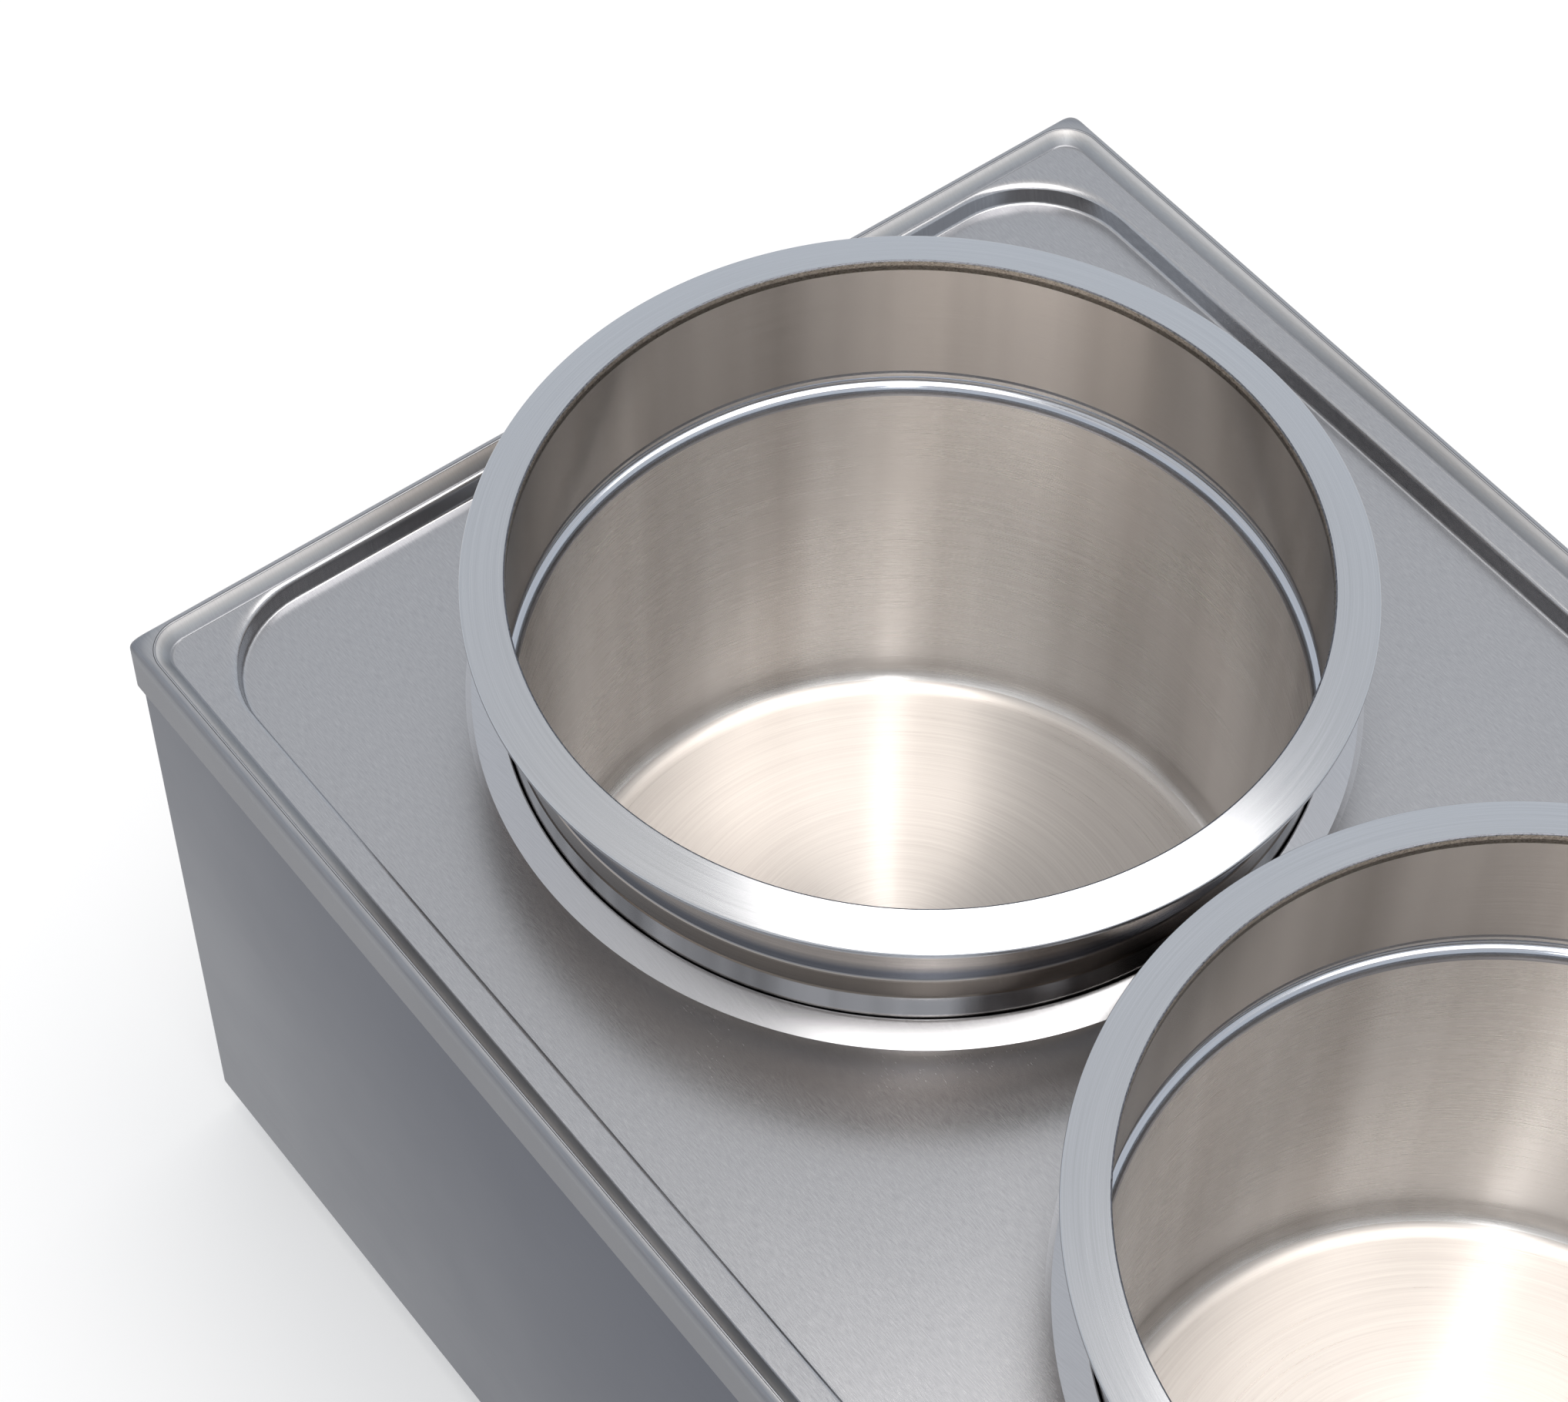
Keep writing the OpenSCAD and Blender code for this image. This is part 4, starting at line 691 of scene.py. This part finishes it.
class BM_OT_pots(bpy.types.Operator):
    """Spin the two pots: flange with a rolled lip, neck, bead, wall and floor"""

    bl_idname = "bain_marie.pots"
    bl_label = "Lift-out pots"

    def execute(self, context):
        size = context.scene.bm_pot
        neck, wall, depth = size.neck_r / MM, size.wall / MM, size.depth / MM
        inner = neck - wall
        body = neck - 2.2
        # (radius, height above the flange's edge, corner radius, finish of the stretch that follows), in mm.
        # The ledge under the neck's two grooves is a quarter of an ellipse
        ledge_deep, ledge_high = 2.25, 3.35
        corners = [
            (0, -depth - wall, 0, "wall"),
            (body, -depth - wall, 9, "wall"),
            (body, -53.8, 1.2, "neck"),
            (neck, -50.4, 1.2, "sizing"),
            (neck, -32.8, 0.2, "neck"),
            (neck - 0.3, -32.3, 0.2, "neck"),
            (neck - 0.3, -25.6, 0.2, "neck"),
            (neck, -25.2, 0.1, "neck"),
            (neck - 0.4, -24.6, 0.3, "neck"),
            (neck - 0.4, 0.2, 1.6, "neck"),
            (RIM_R / MM, -1.6, 0.3, "flange"),
            (RIM_R / MM, 0.0, 0.5, "flange"),
            (108.35, 2.49, 0.3, "lip"),
            (107.87, 2.35, 0.35, "lip"),
            (107.85, -1.3, 0.5, "lip"),
            (inner, -2.0, 0.5, "band"),
            (inner, -45.4, 0.6, "bead"),
            (inner - 0.3, -46.2, 0.2, "bead"),
            (inner + 0.35, -46.9, 0.2, "wall"),
            (inner + 0.35, -48.2, 0.1, "bead"),
            (inner + 0.15, -48.5, 0.1, "bead"),
            (inner + 0.4, -49.0, 0.2, "wall"),
            (inner + 0.4, -50.2, 0.1, "bead"),
            *[(body - wall + ledge_deep * (1 - np.sin(a)), -50.45 - ledge_high * (1 - np.cos(a)), 0, "bead")
              for a in np.radians((0, 15, 30, 45, 60, 75))],
            (body - wall, -53.8, 0, "wall"),
            (body - wall, -depth, 8, "floor"),
            (0, -depth, 0, "floor"),
        ]
        keys = ["flange", "wall", "bead", "band", "neck", "floor", "sizing", "lip"]
        materials = [MADE[k] for k in keys]
        shape = np.array([c[:2] for c in corners])
        profile = filleted(shape, [c[2] for c in corners], steps=7)
        # Each small stretch takes the finish of the nearest long one
        finish = np.array([keys.index(c[3]) for c in corners[:-1]])
        middle = (profile[1:] + profile[:-1]) / 2
        a, b = shape[:-1], shape[1:]
        t = np.clip(((middle[:, None] - a) * (b - a)).sum(-1) / ((b - a) ** 2).sum(-1), 0, 1)
        gap = np.linalg.norm(a + t[..., None] * (b - a) - middle[:, None], axis=-1)
        slots = finish[gap.argmin(1)]
        for key in ("front", "rear"):
            world = np.stack([profile[:, 0] * MM, profile[:, 1] * MM + RIM_Z], 1)
            obj = revolve(f"spun_pot_{key}", world, (0.0, POT_Y[key]), materials, slots, size.segments,
                          sharp=40.0)
            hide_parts(f"pot_{key}")
            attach(obj, f"{key}_pot")
        return {"FINISHED"}


class BM_OT_casing(bpy.types.Operator):
    """Fold the casing: rear and both sides in one sheet, with folds along the bottom and the top"""

    bl_idname = "bain_marie.casing"
    bl_label = "Folded casing"

    def execute(self, context):
        size = context.scene.bm_casing
        low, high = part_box("casing_left")
        hx = -low.x
        sheet, low_fold, high_fold = 1.0 * MM, 12 * MM, 4.5 * MM
        # Wall section as (inset, height), from the lower fold's inner edge up to the upper fold's inner edge
        section = filleted([(low_fold, low.z), (0, low.z), (0, high.z), (high_fold, high.z)],
                           [0, size.bend, size.bend, 0], steps=5)
        inset, height = section[:, 0], section[:, 1]
        corner = 8
        bend = np.linspace(0, np.pi / 2, corner + 1)
        # Plan path, from the front of the right side round the rear to the front of the left side
        a = np.concatenate([[1], np.full(corner + 1, 1), np.full(corner + 1, -1), [-1]])
        f = np.concatenate([[0], bend, bend + np.pi / 2, [np.pi]])
        rear = np.concatenate([[0], np.ones(2 * corner + 2), [0]])
        r = np.maximum(size.bend - inset, 0.0)[:, None] + TINY
        x = a * (hx - inset[:, None] - r) + r * np.cos(f)
        y = np.where(rear > 0, high.y - inset[:, None] - r + r * np.sin(f), low.y)
        z = np.broadcast_to(height[:, None], x.shape)
        verts = np.stack([x, y, z], -1).reshape(-1, 3)
        quads = grid_faces(*x.shape, False)
        run = arc_lengths(np.stack([x[len(x) // 2], y[len(x) // 2]], 1))
        grain = np.stack(np.broadcast_arrays(run, arc_lengths(section)[:, None]), -1).reshape(-1, 2)
        obj = make_mesh("casing_fold", verts, quads, grain[quads], [MADE["casing"]], sharp=60.0)
        thicken(obj, sheet)
        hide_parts("casing_left", "casing_rear", "casing_right")
        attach(obj, "cabinet")
        return {"FINISHED"}


def box_mesh(name, low, high, material):
    """Block between two corners: corner i takes bit 0 of i for X, bit 1 for Y and bit 2 for Z."""
    bits = (np.arange(8)[:, None] >> np.arange(3)) & 1
    verts = np.where(bits, high, low)
    quads = np.array([(0, 2, 3, 1), (4, 5, 7, 6), (0, 1, 5, 4), (2, 6, 7, 3), (0, 4, 6, 2), (1, 3, 7, 5)])
    return make_mesh(name, verts, quads, verts[quads][..., :2], [material])


class BM_OT_dial(bpy.types.Operator):
    """Print the thermostat's scale round the knob and fill the knob's pointer"""

    bl_idname = "bain_marie.dial"
    bl_label = "Thermostat dial"

    def execute(self, context):
        size = context.scene.bm_controls
        low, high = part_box("control_knob")
        x, z = (low.x + high.x) / 2, (low.z + high.z) / 2
        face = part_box("front_panel")[0].y
        # The ticks are thin blocks on the panel, the first straight up and the others clockwise from it
        half_wide = 0.35 * MM
        angle = np.radians(90 - size.sweep * np.arange(size.ticks) / (size.ticks - 1))
        way = np.stack([np.cos(angle), 0 * angle, np.sin(angle)], 1)[:, None]
        side = np.stack([-np.sin(angle), 0 * angle, np.cos(angle)], 1)[:, None]
        along = np.array([size.inner, size.inner, size.outer, size.outer] * 2)[None, :, None]
        across = np.array([-1, 1, 1, -1] * 2)[None, :, None] * half_wide
        deep = np.array([0.0] * 4 + [-1.0] * 4)[None, :, None] * size.ink * np.array([0, 1.0, 0])
        verts = (way * along + side * across + deep + (x, face, z)).reshape(-1, 3)
        block = [(0, 1, 2, 3), (7, 6, 5, 4), (0, 4, 5, 1), (1, 5, 6, 2), (2, 6, 7, 3), (3, 7, 4, 0)]
        quads = (np.array([block]) + 8 * np.arange(size.ticks)[:, None, None]).reshape(-1, 4)
        ticks = make_mesh("dial_ticks", verts, quads, verts[quads][..., ::2], [MADE["ink"]])
        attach(ticks, "cabinet")
        for number, at in enumerate(angle):
            curve = bpy.data.curves.new(f"dial_number_{number}", "FONT")
            curve.body, curve.size, curve.extrude = str(number), size.digit, size.ink
            curve.align_x, curve.align_y = "CENTER", "CENTER"
            flat = bpy.data.objects.new("digit", curve)
            context.scene.collection.objects.link(flat)
            context.view_layer.update()
            mesh = bpy.data.meshes.new_from_object(flat)
            bpy.data.objects.remove(flat)
            reach = size.outer + 0.8 * size.digit
            mesh.transform(Matrix.Translation((x + reach * np.cos(at), face, z + reach * np.sin(at)))
                           @ Matrix.Rotation(np.pi / 2, 4, "X"))
            mesh.materials.clear()
            mesh.materials.append(MADE["ink"])
            digit = bpy.data.objects.new(f"dial_number_{number}", mesh)
            context.scene.collection.objects.link(digit)
            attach(digit, "cabinet")
        # The pointer is enamel in the knob's grip, level with its face, from near the axis to near the rim
        half_wide, front, back, start, end = np.array([0.55, 0.05, 1.55, 3.2, 15.6]) * MM
        pointer = box_mesh("knob_pointer", (x - half_wide, low.y + front, z + start),
                           (x + half_wide, low.y + back, z + end), MADE["white_ink"])
        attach(pointer, "knob")
        return {"FINISHED"}


class BM_OT_stage(bpy.types.Operator):
    """Floor, room light, lamps and camera"""

    bl_idname = "bain_marie.stage"
    bl_label = "Studio"

    def execute(self, context):
        size = context.scene.bm_studio
        scene = context.scene
        scene.view_settings.view_transform = "Standard"
        # Matt studio floor, flat and pale
        mat, tree, bsdf = shader("studio_floor_matt_paint", size.floor, 0.0, 0.9)
        # Partly plain white where the camera or glass sees it, which keeps the shadow, and mostly in metal
        white_seen, white_in_metal = 0.35, 0.85
        ray = add(tree, "ShaderNodeLightPath").outputs
        seen = add(tree, "ShaderNodeMath", {0: ray["Is Camera Ray"], 1: ray["Is Transmission Ray"]},
                   operation="MAXIMUM").outputs[0]
        seen = add(tree, "ShaderNodeMath", {0: seen, 1: white_seen}, operation="MULTIPLY").outputs[0]
        part = add(tree, "ShaderNodeMath", {0: ray["Is Glossy Ray"], 1: white_in_metal, 2: seen},
                   operation="MULTIPLY_ADD").outputs[0]
        white = add(tree, "ShaderNodeEmission", {"Color": (1, 1, 1, 1), "Strength": 1.0})
        both = add(tree, "ShaderNodeMixShader", {0: part, 1: bsdf.outputs[0], 2: white.outputs[0]})
        tree.links.new(both.outputs[0], tree.nodes["Material Output"].inputs["Surface"])
        verts = 30.0 * np.array([(-1, -1, 0), (1, -1, 0), (1, 1, 0), (-1, 1, 0)])
        quads = np.array([[0, 1, 2, 3]])
        floor = make_mesh("studio_floor", verts, quads, verts[quads][..., :2], [mat])
        # The room: grey-blue at the horizon, paler overhead
        world = bpy.data.worlds.new("studio_room")
        scene.world = world
        world.use_nodes = True
        tree = world.node_tree
        tree.nodes.clear()
        way = add(tree, "ShaderNodeTexCoord").outputs["Generated"]
        up = add(tree, "ShaderNodeSeparateXYZ", {"Vector": way}).outputs["Z"]
        sky = ramp(tree, up, [(0.3, size.low_sky), (0.8, size.mid_sky), (0.97, size.high_sky)])
        back = add(tree, "ShaderNodeBackground", {"Color": sky, "Strength": 1.0})
        add(tree, "ShaderNodeOutputWorld", {"Surface": back.outputs[0]})
        for name, place, aim, side, power, color in (
            ("front_strip", (-0.75, -1.0, 1.75), (0.0, 0.1, 0.1), (0.16, 0.9), 1.9, "#ffffff"),
            ("overhead_softbox", (0.25, -0.15, 2.45), (0.05, 0.0, 0.2), (1.5, 1.5), 24, "#fffaf5"),
        ):
            lamp = bpy.data.lights.new(name, "AREA")
            lamp.shape = "RECTANGLE"
            lamp.size, lamp.size_y = side
            lamp.energy = power
            lamp.color = linear(color)[:3]
            obj = bpy.data.objects.new(name, lamp)
            obj.location = place
            obj.rotation_euler = (Vector(aim) - Vector(place)).to_track_quat("-Z", "Y").to_euler()
            scene.collection.objects.link(obj)
        camera = bpy.data.cameras.new("photo_camera")
        camera.lens = size.lens
        camera.sensor_width = 36.0
        camera.sensor_fit = "HORIZONTAL"
        camera.clip_end = 60.0
        obj = bpy.data.objects.new("photo_camera", camera)
        obj.location = size.camera_place
        obj.rotation_euler = size.camera_turn
        scene.collection.objects.link(obj)
        scene.camera = obj
        return {"FINISHED"}


class BM_PT_panel(bpy.types.Panel):
    """Lists the bain marie's pieces and their sizes"""

    bl_idname = "BM_PT_panel"
    bl_label = "Bain marie"
    bl_space_type = "VIEW_3D"
    bl_region_type = "UI"
    bl_category = "Bain marie"

    def draw(self, context):
        for group, kind in GROUPS.items():
            box = self.layout.box()
            for key in kind.__annotations__:
                box.prop(getattr(context.scene, group), key)
        for operator in OPERATORS:
            self.layout.operator(operator.bl_idname)


GROUPS = {"bm_deck": DeckSizes, "bm_pot": PotSizes, "bm_casing": CasingSizes, "bm_controls": ControlSizes,
          "bm_studio": StudioSizes}
OPERATORS = [BM_OT_stage, BM_OT_deck, BM_OT_pots, BM_OT_casing, BM_OT_dial]


def register():
    for group, kind in GROUPS.items():
        bpy.utils.register_class(kind)
        setattr(bpy.types.Scene, group, PointerProperty(type=kind))
    for kind in (*OPERATORS, BM_PT_panel):
        bpy.utils.register_class(kind)


def unregister():
    for kind in (BM_PT_panel, *reversed(OPERATORS)):
        bpy.utils.unregister_class(kind)
    for group, kind in GROUPS.items():
        delattr(bpy.types.Scene, group)
        bpy.utils.unregister_class(kind)


def main():
    register()
    MADE.update(finishes())
    dress_cad_nodes()
    for operator in OPERATORS:
        group, name = operator.bl_idname.split(".")
        getattr(getattr(bpy.ops, group), name)()
    bpy.context.view_layer.update()


if __name__ == "__main__":
    main()
